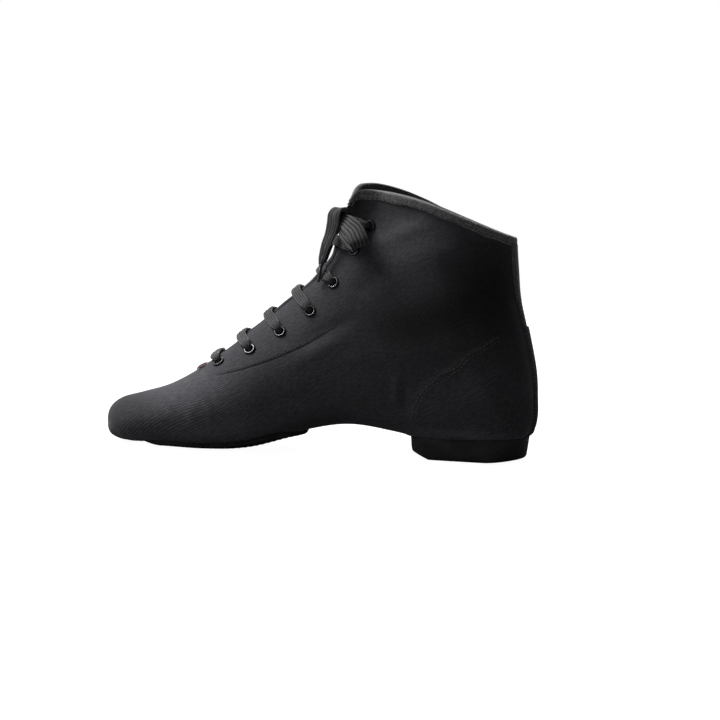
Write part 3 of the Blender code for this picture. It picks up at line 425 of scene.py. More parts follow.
def near_line(x, z, route):
    """Distance in the side view from points to a smooth line through a route, less than nought to its
    left, and the share of the way along it."""
    line = curve_through(route, np.linspace(0, len(route) - 1, 8 * (len(route) - 1) + 1))
    start, way = line[:-1], np.diff(line, axis=0)
    p = np.stack([x, z], axis=-1)[..., None, :]
    t = np.clip(((p - start) * way).sum(-1) / (way**2).sum(-1), 0, 1)
    gap = p - start - t[..., None] * way
    distance = np.linalg.norm(gap, axis=-1)
    k = distance.argmin(axis=-1)[..., None]
    left = np.take_along_axis(way[:, 0] * gap[..., 1] - way[:, 1] * gap[..., 0], k, -1)[..., 0] > 0
    nearest = np.take_along_axis(distance, k, -1)[..., 0]
    length = np.linalg.norm(way, axis=-1)
    along = (np.cumsum(length) - length + t * length) / length.sum()
    return np.where(left, -nearest, nearest), np.take_along_axis(along, k, -1)[..., 0]


def bell(x, half):
    """A soft bump: the Gaussian of x over its half width."""
    return np.exp(-((x / half) ** 2))


def patches(x, z, side, table):
    """Soft round patches in the side view, added up: each a Gaussian about its middle by its half sizes,
    on the sides where its own sign and that of side agree."""
    out = 0.0 * x
    for which, mid_x, mid_z, half_x, half_z, amount in table:
        away = np.hypot((x - mid_x) / half_x, (z - mid_z) / half_z)
        out = out + amount * bell(away, 1.0) * (which * side >= 0)
    return out


def heel_top(x):
    """The height of the heel block's top edge, which rises evenly to the back."""
    share = (x - HEEL_BREAST_X) / (HEEL_BACK_X - HEEL_BREAST_X)
    return HEEL_TOP_FRONT + (HEEL_TOP_BACK - HEEL_TOP_FRONT) * share


def heel_edge(x, y):
    """How near a place is to the heel block's outline: 0 on its middle line and 1 at the outline."""
    long = HEEL_HALF_WIDTH * HEEL_ROUNDNESS
    behind = np.maximum(x - (HEEL_BACK_X - long), 0.0) / long
    return np.hypot(behind, y / HEEL_HALF_WIDTH)


def relief(s, turn):
    """Height of the canvas over the last: the lapped panel, the counter, folds, swells, the margin
    over the heel, the toe's pleats and a slow waviness, added up."""
    s, turn = paired(s, turn)
    phi, near = folded(turn)
    x, y, z = np.moveaxis(last(s, turn), -1, 0)
    side = np.where(near, -1, 1)
    past = from_throat(s, turn) - from_throat(s, np.where(near, panel_edge(s), -panel_edge(s)))
    fade = step(s, *PANEL_FRONT) * (1 - step(s, *PANEL_BACK))
    high = PANEL_RAISED * (1 - step(past, *PANEL_LAP))
    high = high + PANEL_ROLL * bell(past - PANEL_ROLL_AT, PANEL_ROLL_HALF)
    out = fade * (high - PANEL_GROOVE * bell(past - PANEL_GROOVE_AT, PANEL_GROOVE_HALF))
    for which, half, height, route in FOLDS:
        across, along = near_line(x, z, route)
        ends = step(along, 0.0, FOLD_FADE) * (1 - step(along, 1 - FOLD_FADE, 1.0))
        out = out + height * bell(across, half) * ends * (which * side >= 0)
    out = out + patches(x, z, side, SWELLS)
    inside, _ = near_line(x, z, COUNTER)
    groove = COUNTER_GROOVE * bell(inside - COUNTER_GROOVE_AT, COUNTER_GROOVE_HALF)
    out = out + (COUNTER_RAISED * step(inside, *COUNTER_LAP) - groove) * step(s, *COUNTER_FROM)
    margin = bell(z - heel_top(x) - MARGIN_UP, MARGIN_HALF)
    out = out + MARGIN_RAISED * margin * step(x, *MARGIN_ALONG) * step(phi, *MARGIN_ROUND)
    whole = from_throat(s, np.where(near, math.pi, math.pi + 1e-9))
    sole_edge = SOLE_REACH * np.where(near, column("near", s), column("far", s))
    rand = bell(whole - from_throat(s, turn) - sole_edge - RAND_MIDDLE, RAND_HALF)
    rand = rand * step(s, *RAND_FRONT) * (1 - step(s, *RAND_BACK))
    out = out + RAND_OUT * rand * step(phi, *RAND_ROUND)
    out = out + CHIN_OUT * step(phi, *CHIN_ROUND) * step(s, *CHIN_FRONT) * (1 - step(s, *CHIN_BACK))
    round_toe = np.arctan2(y - PLEAT_CENTRE[1], PLEAT_CENTRE[0] - x)
    gathered = (1 - step(z, *PLEAT_HIGH)) * (1 - step(x, *PLEAT_BACK)) * step(s, *PLEAT_FRONT)
    fan = PLEATS * round_toe + PLEAT_STRAY * np.sin(PLEAT_STRAYS * round_toe)
    out = out + PLEAT_RAISED * gathered * np.sin(fan)
    for high, along, up, late in WAVES:
        out = out + high * np.sin(x / along + z / up + late) * step(s, *WAVES_FRONT) * step(z, *WAVES_UP)
    return out


def slump(s, turn):
    """How far the collar has moved from the last: forward along its two front edges, down at their two
    corners and, on the medial side, inwards as it rises, with a hollow along a fold line and a flap
    that leans out beyond it."""
    s, turn = paired(s, turn)
    phi, near = folded(turn)
    x, _, z = np.moveaxis(last(s, turn), -1, 0)
    way = (LAPEL_TOP - LAPEL_LOW) / np.linalg.norm(LAPEL_TOP - LAPEL_LOW)
    beyond = (z - LAPEL_LOW[1]) * way[0] - (x - LAPEL_LOW[0]) * way[1]
    out = LAPEL_OUT * (np.clip(beyond + LAPEL_EASE, 0, None) / LAPEL_REACH) ** LAPEL_BEND
    hollow = LAPEL_HOLLOW * bell(beyond - LAPEL_HOLLOW_AT, LAPEL_HOLLOW_HALF) * step(z, *LAPEL_HOLLOW_UP)
    out = out * step(z, *LAPEL_UP) - hollow
    sunk = SINK * step(z, *SINK_UP) * bell(x - SINK_MIDDLE, SINK_HALF)
    forward = np.where(near, FORWARD_NEAR, FORWARD_FAR) * step(z, *FORWARD_UP)
    from_edge = from_throat(s, turn) - throat_half(s)
    forward = forward * bell(from_edge, FORWARD_HALF)
    reach = from_edge / np.where(near, DROOP_NEAR_REACH, DROOP_FAR_REACH)
    droop = np.where(near, DROOP_NEAR, DROOP_FAR) * np.clip(1 - reach, 0, 1) ** DROOP_BEND
    droop = droop * step(s, DROOP_FROM, COLLAR)
    return np.stack([-forward, (sunk - out * (phi < LAPEL_ROUND)) * near, -droop], axis=-1)


def skin(s, turn, offset=0.0):
    """The canvas moved out by offset: the last, plus its normal by relief and offset, plus the slump,
    and lifted over the heel block to the height of its top edge."""
    s, turn = paired(s, turn)
    points = last(s, turn) + outward(s, turn) * (relief(s, turn) + offset)[..., None] + slump(s, turn)
    x, y, z = np.moveaxis(points, -1, 0)
    over = step(heel_edge(x, y), *SEAT_SHARE) * step(x, *SEAT_ALONG)
    over = over * (outward(s, turn)[..., 2] < SEAT_FACING) * (z < SEAT_UNDER)
    points[..., 2] = z + over * np.maximum(heel_top(x) - SEAT_LAP - offset - z, 0.0)
    return points


def quads(index):
    """The four corners of each cell of a grid of vertex numbers, facing out where the columns, crossed
    with the rows, point out."""
    corners = (index[:-1, :-1], index[:-1, 1:], index[1:, 1:], index[1:, :-1])
    return np.stack(corners, axis=-1).reshape(-1, 4)


def shell(outer, inner, faces):
    """A closed sheet: its outer faces, the same faces turned round on the inner points, and a wall
    wherever an edge belongs to one face only."""
    count = len(outer)
    ahead = np.stack([faces, np.roll(faces, -1, axis=1)], axis=-1).reshape(-1, 2)
    code, reverse = ahead @ (count, 1), ahead @ (1, count)
    a, b = ahead[~np.isin(code, reverse)].T
    walls = np.stack([b, a, a + count, b + count], axis=-1)
    return np.concatenate([outer, inner]), np.concatenate([faces, faces[:, ::-1] + count, walls])


def add_piece(name, points, faces, finish, slot, nodes=(), uv=None, sharp=50.0, painted_light_and_shade=None):
    """A piece from points in millimetres and faces of four corners, with a flat map in millimetres by
    vertex or by corner, and the painted light and shade at each vertex, lighter above nought and darker
    below. It rides on the one body and stands for the solids that it names."""
    used, where = np.unique(faces, return_inverse=True)
    corners = where.reshape(-1)
    data = bpy.data.meshes.new(name)
    data.vertices.add(len(used))
    data.vertices.foreach_set("co", lay(points[used]).ravel())
    data.loops.add(len(corners))
    data.loops.foreach_set("vertex_index", corners.astype(np.int32))
    data.polygons.add(len(faces))
    data.polygons.foreach_set("loop_start", np.arange(0, len(corners), 4, dtype=np.int32))
    if uv is not None:
        flat = uv.reshape(-1, 2) if uv.ndim == 3 else uv[faces.reshape(-1)]
        data.uv_layers.new(name="cloth").uv.foreach_set("vector", flat.astype(np.float32).ravel())
    if painted_light_and_shade is not None:
        layer = data.attributes.new("painted_light_and_shade", "FLOAT", "POINT")
        layer.data.foreach_set("value", painted_light_and_shade[used].astype(np.float32))
    data.update(calc_edges=True)
    data.validate()
    data.shade_smooth()
    data.set_sharp_from_angle(angle=math.radians(sharp))
    data.materials.append(finish)
    piece = bpy.data.objects.new(name, data)
    bpy.context.scene.collection.objects.link(piece)
    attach(piece, "root")
    if nodes:
        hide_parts(*nodes)
    return piece


# Eyelets: how far along the throat line from its base, and how far from the throat's edge
EYELETS = np.array((
    (12.8, 11.2), (35.2, 16.7), (56.3, 17.6), (76.8, 17.4), (94.6, 12.9), (114.8, 12.9), (129.4, 17.5)))
EYELET_CUT_R = 2.75
fine = np.linspace(THROAT_START, COLLAR, 1200)
throat_arc = run_along(last(fine, np.zeros_like(fine)))
EYELET_S = np.interp(EYELETS[:, 0], throat_arc, fine)
EYELET_TURNS = [
    turn_at(EYELET_S, (throat_half(EYELET_S) + EYELETS[:, 1])[:, None], far)[:, 0] for far in (False, True)]
EYELET_SEATS = np.concatenate([skin(EYELET_S, turns) for turns in EYELET_TURNS])

# Rows about evenly spaced on the shell, with more at the throat's round base
PANEL_STRIPS, EDGE_STRIPS, SIDE_STRIPS, EDGE_HALF = 22, 16, 54, 2.4
# Short rings by the toe have no panel: their length, and the shares at which their columns lie
EDGE_TURN_LEAST, SHORT_RING, SHORT_EDGE, SHORT_HALF = 0.5, (30.0, 75.0), 0.45, 0.12
HALF = PANEL_STRIPS + EDGE_STRIPS + SIDE_STRIPS
TIP_S = 0.04
rows = np.linspace(TIP_S, COLLAR, 2000)
across_lines = last(rows[:, None], np.array((0.3, 0.9, 1.5, 2.2, 3.0))[None, :])
travelled = np.linalg.norm(np.diff(across_lines, axis=0), axis=-1).max(axis=1)
travelled = np.concatenate([[0.0], np.cumsum(travelled)])
rows = np.interp(np.linspace(0, travelled[-1], 205), travelled, rows)
rows = np.unique(np.concatenate([rows, THROAT_START + THROAT_ROUND * np.linspace(0, 1, 10) ** 2]))


def upper_turns(s):
    """The columns on both sides of each section: from the throat's edge to the panel's edge, closely
    over that edge, and on to the low line, by distance."""
    sides = []
    for far in (False, True):
        edge_turn = np.maximum(panel_edge(s), EDGE_TURN_LEAST)
        edge = from_throat(s, 2 * math.pi - edge_turn if far else edge_turn)
        whole = from_throat(s, np.full_like(s, math.pi) + (1e-9 if far else 0.0))
        start = throat_half(s)
        edge = np.clip(edge, start + 1.6 * EDGE_HALF, whole - 4 * EDGE_HALF)
        half = np.minimum(EDGE_HALF, SHORT_HALF * whole)
        grown = step(whole, *SHORT_RING)
        edge = SHORT_EDGE * whole * (1 - grown) + edge * grown
        panel = np.linspace(start, edge - half, PANEL_STRIPS + 1, axis=1)
        lap = np.linspace(edge - half, edge + half, EDGE_STRIPS + 1, axis=1)[:, 1:]
        rest = np.linspace(edge + half, whole, SIDE_STRIPS + 1, axis=1)[:, 1:]
        sides.append(turn_at(s, np.concatenate([panel, lap, rest], axis=1), far))
    near, far = sides
    return np.concatenate([near, far[:, -2::-1]], axis=1)


turns = upper_turns(rows)
spread_s = np.broadcast_to(rows[:, None], turns.shape)
outside = skin(spread_s, turns)
inside = skin(spread_s, turns, -WALL)
closed = rows <= THROAT_START + 1e-6

# Flat cloth: the twill's own directions on the shell, then the map that fits them best
WALE_SIDE, WALE_TOE = math.radians(33.0), math.radians(25.0)
WALE_COLLAR, WALE_HEEL = math.radians(2.0), math.radians(6.0)
# Where the slope changes: along the toe, then by section and turn at the collar's front and at the heel
WALE_TOE_X, WALE_COLLAR_S, WALE_COLLAR_TURN = (-112.0, -66.0), (12.5, 15.0), (0.6, 1.2)
WALE_HEEL_S, WALE_HEEL_TURN = (10.5, 12.5), (1.6, 2.4)


def wale_direction(s, turn):
    """The way a wale runs and the way across it: a slope in the side view that rises to the back, laid
    flat on the canvas. It is steeper at the toe, by the collar's front and at the heel."""
    n = outward(s, turn)
    phi, _ = folded(turn)
    x = last(s, turn)[..., 0]
    angle = WALE_SIDE + WALE_TOE * (1 - step(x, *WALE_TOE_X))
    angle = angle + WALE_COLLAR * step(s, *WALE_COLLAR_S) * (1 - step(phi, *WALE_COLLAR_TURN))
    angle = angle + WALE_HEEL * step(s, *WALE_HEEL_S) * step(phi, *WALE_HEEL_TURN)
    slope = np.stack([np.cos(angle), 0.0 * angle, np.sin(angle)], axis=-1)
    along = unit(slope - n * (slope * n).sum(-1, keepdims=True))
    return along, np.cross(n, along)


# The least and the most that one grid edge counts in the fit
WEIGHTS = (0.05, 20.0)


def flat_cloth(points, along, across, joined, rounds=500):
    """Flat places along and across the wales for two half shells (half, row, column), joined along
    column 0 at some rows. Conjugate gradients find the least squares fit of each grid edge's run to
    its length along the two directions."""
    def runs(axis):
        """The runs along and across the wales, and the lengths, of the grid edges on one axis."""
        first = [slice(None)] * 3
        second = [slice(None)] * 3
        first[axis], second[axis] = slice(None, -1), slice(1, None)
        first, second = tuple(first), tuple(second)
        way = points[second] - points[first]
        mean = [(d[first] + d[second]) / 2 for d in (along, across)]
        return np.stack([(way * d).sum(-1) for d in mean], -1), np.linalg.norm(way, axis=-1)
    want_r, size_r = runs(1)
    want_c, size_c = runs(2)
    wide = np.pad(size_c, ((0, 0), (0, 0), (0, 1)), mode="edge")
    tall = np.pad(size_r, ((0, 0), (0, 1), (0, 0)), mode="edge")
    weight_r = np.clip(wide[:, 1:] / np.maximum(size_r, 1e-3), *WEIGHTS)[..., None]
    weight_c = np.clip(tall[:, :, 1:] / np.maximum(size_c, 1e-3), *WEIGHTS)[..., None]
    weight_j = WEIGHTS[1] * joined[:, None]

    def gather(flow_r, flow_c, flow_j):
        """Flows along the edges summed at their two ends, in at one and out at the other."""
        total = np.zeros(points.shape[:3] + (2,))
        total[:, 1:] += flow_r
        total[:, :-1] -= flow_r
        total[:, :, 1:] += flow_c
        total[:, :, :-1] -= flow_c
        total[1, :, 0] += flow_j
        total[0, :, 0] -= flow_j
        return total

    def spring(u):
        """The weighted pull of the edges on each point, for flat places u."""
        return gather(
            weight_r * (u[:, 1:] - u[:, :-1]), weight_c * (u[:, :, 1:] - u[:, :, :-1]),
            weight_j * (u[1, :, 0] - u[0, :, 0]))

    u = np.zeros(points.shape[:3] + (2,))
    left = gather(weight_r * want_r, weight_c * want_c, np.zeros((len(joined), 2)))
    ease = np.zeros_like(u)
    ease[:, 1:] += weight_r
    ease[:, :-1] += weight_r
    ease[:, :, 1:] += weight_c
    ease[:, :, :-1] += weight_c
    ease[:, :, 0] += weight_j
    eased = left / ease
    way = eased
    power = (left * eased).sum((0, 1, 2))
    for _ in range(rounds):
        pull = spring(way)
        share = power / np.maximum((way * pull).sum((0, 1, 2)), 1e-12)
        u = u + share * way
        left = left - share * pull
        eased = left / ease
        fresh = (left * eased).sum((0, 1, 2))
        way = eased + fresh / np.maximum(power, 1e-12) * way
        power = fresh
    return u


halves = [np.s_[:, :HALF + 1], np.s_[:, :HALF - 1:-1]]
half_turns = [turns[h] for h in halves]
half_turns[1] = np.where(np.arange(HALF + 1) == HALF, math.pi + 1e-6, half_turns[1])
wales = [wale_direction(np.broadcast_to(rows[:, None], t.shape), t) for t in half_turns]
cloth_uv = flat_cloth(
    np.stack([outside[h] for h in halves]), np.stack([w[0] for w in wales]),
    np.stack([w[1] for w in wales]), closed)

index = np.arange(outside.size // 3).reshape(turns.shape)
index[closed, -1] = index[closed, 0]
pole = outside.size // 3
cells = quads(index)
by_column = np.concatenate([cloth_uv[0], cloth_uv[1][:, -2::-1]], axis=1)
cell_uv = by_column.reshape(-1, 2)[quads(np.arange(index.size).reshape(index.shape))]
low_uv = cloth_uv[1][:, HALF]
row_of, column_of = (n.reshape(-1) for n in np.indices((len(rows) - 1, 2 * HALF)))
cell_uv[column_of == HALF, 0] = low_uv[:-1]
cell_uv[column_of == HALF, 3] = low_uv[1:]

middle = outside.reshape(-1, 3)[cells].mean(axis=1)
punched = (np.linalg.norm(middle[:, None] - EYELET_SEATS, axis=-1) < EYELET_CUT_R).any(axis=1)
# The solid's two openings under the soles, as sections, with their half width and the turns between
OPENINGS, OPENING_HALF, OPENING_FROM, OPENING_TO = ((3.2, 6.5), (10.0, 11.2)), 18.0, 2.0, 4.28
mid_s, mid_turn = rows[row_of], turns[:-1, :-1].reshape(-1)
opened = sum((mid_s > low) & (mid_s < high) for low, high in OPENINGS) > 0
opened &= (np.abs(middle[:, 1]) < OPENING_HALF) & (mid_turn > OPENING_FROM) & (mid_turn < OPENING_TO)
kept = ~(punched | opened)
ring = index[0, :-1]
ring = np.append(ring, ring[0])
tip = np.stack([np.full(HALF, pole), ring[2::2], ring[1::2], ring[:-1:2]], axis=-1)
points = np.concatenate([outside.reshape(-1, 3), skin(np.zeros(1), np.zeros(1) + 0.5)])
under = np.concatenate([inside.reshape(-1, 3), points[-1:] + (WALL, 0.0, 0.0)])
faces = np.concatenate([cells[kept], tip])
all_points, all_faces = shell(points, under, faces)
flat_points = np.concatenate([by_column.reshape(-1, 2), by_column[:1, 0]])
face_uv = np.concatenate([cell_uv[kept], flat_points[tip]])
wall_uv = np.concatenate([flat_points, flat_points])[all_faces[2 * len(faces):]]
upper_uv = np.concatenate([face_uv, face_uv[:, ::-1], wall_uv])

# Painted light and shade on the canvas's colour, lighter above nought where light falls and darker below
# it where shade falls: side, middle along and up, half sizes along and up, and the share of colour gained or
# lost
PAINTED_LIGHT_AND_SHADE_PATCHES = (
    (-1, 38.0, 127.0, 30.0, 13.0, 0.95),
    (-1, 12.0, 143.0, 9.0, 8.0, -0.50),
    (0, -62.0, 30.0, 34.0, 16.0, 0.62),
    (0, -56.0, 12.0, 34.0, 9.0, 0.70),
    (0, -4.0, 40.0, 26.0, 24.0, 0.40),
    (0, -22.0, 72.0, 18.0, 16.0, 0.20),
    (0, 46.0, 78.0, 30.0, 22.0, -0.62),
    (0, 90.0, 96.0, 26.0, 34.0, -0.68),
    (0, 85.0, 16.0, 36.0, 3.0, 0.60),
    (0, -114.0, 24.0, 14.0, 10.0, -0.45),
)

# Black cotton twill, piece-dyed: slanting wales with a yarn's bumps along them, dull, with a short nap that
# greys it at a glancing angle, the crowns of its wales faded unevenly, a few pale specks of lint, and
# painted light and shade by vertex. The wales are drawn at the spacing that shows, about twice that of the
# real cloth.
WALE_PITCH, YARN_PITCH, CLOTH_BUMP = 1.12, 0.95, 0.24
WAVE = 2 * math.pi / 20.0
canvas, tree, shader = finish_of("black_cotton_twill", {
    "Roughness": 0.88, "Specular IOR Level": 0.14,
    "Sheen Weight": 0.16, "Sheen Roughness": 0.42, "Sheen Tint": "#dcdde6"})
cloth_map = node(tree, "UVMap", {"uv_map": "cloth"})
place = node(tree, "TexCoord")
wale = node(tree, "TexWave", {"wave_type": "BANDS", "bands_direction": "Y"}, {
    "Vector": cloth_map, "Scale": WAVE / WALE_PITCH, "Distortion": 2.2, "Detail": 3.0,
    "Detail Scale": 1.8})
skewed = node(tree, "Mapping", inputs={
    "Vector": cloth_map, "Rotation": (0.0, 0.0, math.radians(32.0))})
yarn = node(tree, "TexWave", {"wave_type": "BANDS", "bands_direction": "X"}, {
    "Vector": skewed, "Scale": WAVE / YARN_PITCH, "Distortion": 2.2, "Detail": 2.0,
    "Detail Scale": 1.4})
bumpy = node(tree, "Math", {"operation": "MULTIPLY_ADD"}, {0: yarn, 1: 0.62, 2: 0.38})
drawn = node(tree, "Mapping", inputs={"Vector": cloth_map, "Scale": (0.28, 0.95, 1.0)})
slub = node(tree, "TexNoise", inputs={"Vector": drawn, "Scale": 1.0, "Detail": 2.0})
uneven = node(tree, "MapRange", inputs={
    "Value": slub, "From Min": 0.34, "From Max": 0.62, "To Min": 0.25, "To Max": 1.0})
ridge = node(tree, "Math", {"operation": "MULTIPLY"}, {0: wale, 1: bumpy})
weave = node(tree, "Math", {"operation": "MULTIPLY"}, {0: ridge, 1: uneven})
mottle = node(tree, "TexNoise", inputs={
    "Vector": place, "Scale": 1 / (9.0 * MM), "Detail": 4.0, "Roughness": 0.6})
fade_and_painted_light = node(tree, "MapRange", inputs={
    "Value": mottle, "From Min": 0.3, "From Max": 0.72, "To Min": 0.0, "To Max": 1.0})
crest = node(tree, "Mix", {"data_type": "RGBA"}, {
    0: fade_and_painted_light, 6: "#434347", 7: "#515157"})
dyed = node(tree, "Mix", {"data_type": "RGBA"}, {
    0: weave, 6: "#29292b", 7: crest})
specks = node(tree, "TexNoise", inputs={
    "Vector": cloth_map, "Scale": 1 / 1.5, "Detail": 1.0})
lint = node(tree, "MapRange", inputs={
    "Value": specks, "From Min": 0.72, "From Max": 0.82, "To Min": 0.0, "To Max": 0.4})
colour = node(tree, "Mix", {"data_type": "RGBA"}, {
    0: lint, 6: dyed, 7: "#66666a"})
# Painted light and shade: the colour is scaled by one plus the vertex map, lighter where light falls and
# darker where shade falls
painted_light_and_shade = node(tree, "Attribute", {"attribute_name": "painted_light_and_shade"})
share = node(tree, "Math", {"operation": "ADD"}, {0: painted_light_and_shade, 1: 1.0})
wear_and_painted_light = node(tree, "VectorMath", {"operation": "SCALE"}, {0: colour, 3: share})
raised = node(tree, "Bump", inputs={
    "Strength": 0.3, "Distance": CLOTH_BUMP * MM, "Height": weave})
plug(tree, shader, {"Base Color": wear_and_painted_light, "Normal": raised})

upper_x, upper_y, upper_z = all_points.T
# The upper's painted light and shade, from the table of patches
add_piece(
    "upper_canvas", all_points, all_faces, canvas, "canvas", ("upper",), upper_uv,
    painted_light_and_shade=patches(upper_x, upper_z, upper_y, PAINTED_LIGHT_AND_SHADE_PATCHES))


# Tongue. A sheet of the same canvas behind the lacing, sewn in ahead of the throat and left loose at the
# top.

TONGUE_FROM, TONGUE_TO, TONGUE_HALF_LOW, TONGUE_HALF_TOP, TONGUE_THICK = 4.35, 16.4, 19.0, 26.0, 1.5
TONGUE_ROOM_FRONT, TONGUE_ROOM, TONGUE_SWELL = 0.7, 2.2, 4.0
SWELL_ACROSS, SWELL_BEGINS, SWELL_ENDS = (0.35, 1.15), (5.2, 6.2), (12.6, 13.4)
RIPPLE, RIPPLES_ALONG, RIPPLES_ROUND = 0.25, 5.0, 3.0


def sheet_turns(s, reach, columns, low):
    """Turns of a strip that reaches equally far to both sides of the throat line or the low line."""
    share = np.linspace(0, 1, columns + 1)
    near, far = (turn_at(s, reach[:, None] * share, side, low) for side in (False, True))
    return np.concatenate([near[:, ::-1], far[:, 1:] - (0.0 if low else 2 * math.pi)], axis=1)


def strip_uv(points):
    """A strip's flat map: distance across it and distance along its middle."""
    middle = points.shape[1] // 2
    wide = run_along(points)
    wide = wide - wide[:, middle][:, None]
    long = run_along(points[:, middle])
    return np.stack([wide, np.broadcast_to(long[:, None], wide.shape)], axis=-1).reshape(-1, 2)


def add_sheet(name, over, under, finish, slot, nodes, turned=0.0, fade_and_painted_light=0.0):
    """A closed sheet between two grids of points, with its flat map turned by an angle, and painted light
    (above nought) or painted shade (below) spread evenly over its colour.
    """
    points, faces = shell(
        over.reshape(-1, 3), under.reshape(-1, 3), quads(np.arange(over.size // 3).reshape(over.shape[:2])))
    c, d = math.cos(turned), math.sin(turned)
    uv = strip_uv(over) @ np.array(((c, d), (-d, c)))
    return add_piece(
        name, points, faces, finish, slot, nodes, np.concatenate([uv, uv]),
        painted_light_and_shade=np.full(len(points), fade_and_painted_light))


rows_t = np.linspace(TONGUE_FROM, TONGUE_TO, 110)
reach = np.interp(rows_t, (TONGUE_FROM, TONGUE_TO), (TONGUE_HALF_LOW, TONGUE_HALF_TOP))
turns_t = sheet_turns(rows_t, reach, 20, False)
s_t = np.broadcast_to(rows_t[:, None], turns_t.shape)
room_t = step(s_t, TONGUE_FROM, THROAT_START + 0.6)
room_t = TONGUE_ROOM_FRONT + (TONGUE_ROOM - TONGUE_ROOM_FRONT) * room_t
ripple = RIPPLE * np.sin(s_t * RIPPLES_ALONG) * np.cos(turns_t * RIPPLES_ROUND)
swollen = from_throat(s_t, turns_t) / np.maximum(throat_half(s_t), 1.0)
swollen = TONGUE_SWELL * (1 - step(swollen, *SWELL_ACROSS)) * step(s_t, *SWELL_BEGINS)
swollen = swollen * (1 - step(s_t, *SWELL_ENDS))


def tongue_face(depth):
    """The tongue's face at a depth under the last, with a slow ripple, swollen up in the throat."""
    return last(s_t, turns_t) - outward(s_t, turns_t) * (WALL + room_t + depth + ripple - swollen)[..., None]


add_sheet("tongue_canvas", tongue_face(0.0), tongue_face(TONGUE_THICK), canvas, "canvas", ("tongue",), 0.6)


# Insole. A soft sock of brushed cotton over thin board, laid loose along the whole foot.

INSOLE_FROM, INSOLE_TO, INSOLE_REACH, INSOLE_THICK, INSOLE_ROOM = 2.05, 11.25, 0.72, 2.0, 0.6


def rounded(s, front, behind, least):
    """Shares of full width along a patch, rounded as quarter circles over its two ends."""
    u = np.clip((s - s[0]) / front, 0, 1)
    v = np.clip((s[-1] - s) / behind, 0, 1)
    return np.maximum(np.sqrt(1 - (1 - u) ** 2) * np.sqrt(1 - (1 - v) ** 2), least)


def sole_turns(s, reach, width, columns):
    """Turns of a patch on the underside that reaches a share of the last's half width to each side,
    with columns closer together towards its edges."""
    share = np.sin(np.linspace(0, math.pi / 2, columns + 1))
    near, far = (
        turn_at(s, (width * reach * column(name, s))[:, None] * share, name == "far", True)
        for name in ("near", "far"))
    return np.concatenate([near[:, ::-1], far[:, 1:]], axis=1)


rows_i = np.linspace(INSOLE_FROM, INSOLE_TO, 90)
turns_i = sole_turns(rows_i, INSOLE_REACH, rounded(rows_i, 1.6, 1.0, 0.30), 16)
s_i = np.broadcast_to(rows_i[:, None], turns_i.shape)
low_i = last(s_i, turns_i) - outward(s_i, turns_i) * (WALL + INSOLE_ROOM)
top_i = last(s_i, turns_i) - outward(s_i, turns_i) * (WALL + INSOLE_ROOM + INSOLE_THICK)

# Brushed black cotton: a dull short pile with a plain weave just showing
sock, tree, shader = finish_of("brushed_black_cotton", {
    "Roughness": 0.95, "Specular IOR Level": 0.1, "Sheen Weight": 0.3, "Sheen Roughness": 0.5})
cloth_map = node(tree, "UVMap", {"uv_map": "cloth"})
weft = node(tree, "TexWave", {"bands_direction": "X"}, {
    "Vector": cloth_map, "Scale": WAVE / 1.2, "Distortion": 1.5})
warp = node(tree, "TexWave", {"bands_direction": "Y"}, {
    "Vector": cloth_map, "Scale": WAVE / 1.2, "Distortion": 1.5})
plain = node(tree, "Math", {"operation": "MULTIPLY"}, {0: weft, 1: warp})
colour = node(tree, "Mix", {"data_type": "RGBA"}, {
    0: plain, 6: "#161616", 7: "#2c2c2d"})
raised = node(tree, "Bump", inputs={
    "Strength": 0.5, "Distance": 0.2 * MM, "Height": plain})
plug(tree, shader, {"Base Color": colour, "Normal": raised})
add_sheet("insole_sock", low_i, top_i, sock, "insole_cloth", ("insole",))


# Forefoot sole. The front half of the split sole: a thin moulded rubber patch under the ball, cemented
# on, with a rounded edge and fine ribs across its tread.

SOLE_THICK, SOLE_TREAD, GAP = 2.6, 0.8, 0.3
RIB_PITCH, RIB_DEEP = 3.2, 0.3
ease_rows = (1 - np.cos(np.linspace(0, math.pi, 130))) / 2
rows_f = SOLE_FROM + (SOLE_TO - SOLE_FROM) * ease_rows
turns_f = sole_turns(rows_f, SOLE_REACH, rounded(rows_f, 1.5, 0.9, 0.30), 40)
s_f = np.broadcast_to(rows_f[:, None], turns_f.shape)
edge_across = np.abs(np.linspace(-1, 1, turns_f.shape[1]))
edge_across = np.sin(edge_across * math.pi / 2)
edge_along = np.abs(2 * ease_rows - 1)
edge_f = np.clip(1 - edge_across**24, 0, 1) ** 0.35 * np.clip(1 - edge_along[:, None] ** 60, 0, 1) ** 0.35
edge_f = (0.45 + 0.55 * edge_f) * (0.1 + 0.9 * step(rows_f, SOLE_FROM, SOLE_FROM + 1.0)[:, None])
edge_f = edge_f * (1 - 0.35 * step(rows_f, SOLE_TO - 1.1, SOLE_TO)[:, None])
top_f = last(s_f, turns_f) + outward(s_f, turns_f) * 0.12
low_f = last(s_f, turns_f) + outward(s_f, turns_f) * (GAP + SOLE_THICK * edge_f)[..., None]
low_f[..., 2] = np.maximum(low_f[..., 2] - SOLE_TREAD * edge_f, 0.0)
ribbed = step(1 - edge_across[None, :], 0.10, 0.22) * step(1 - edge_along[:, None], 0.06, 0.16)
low_f[..., 2] += RIB_DEEP * ribbed * (0.5 + 0.5 * np.cos(2 * math.pi * low_f[..., 0] / RIB_PITCH))

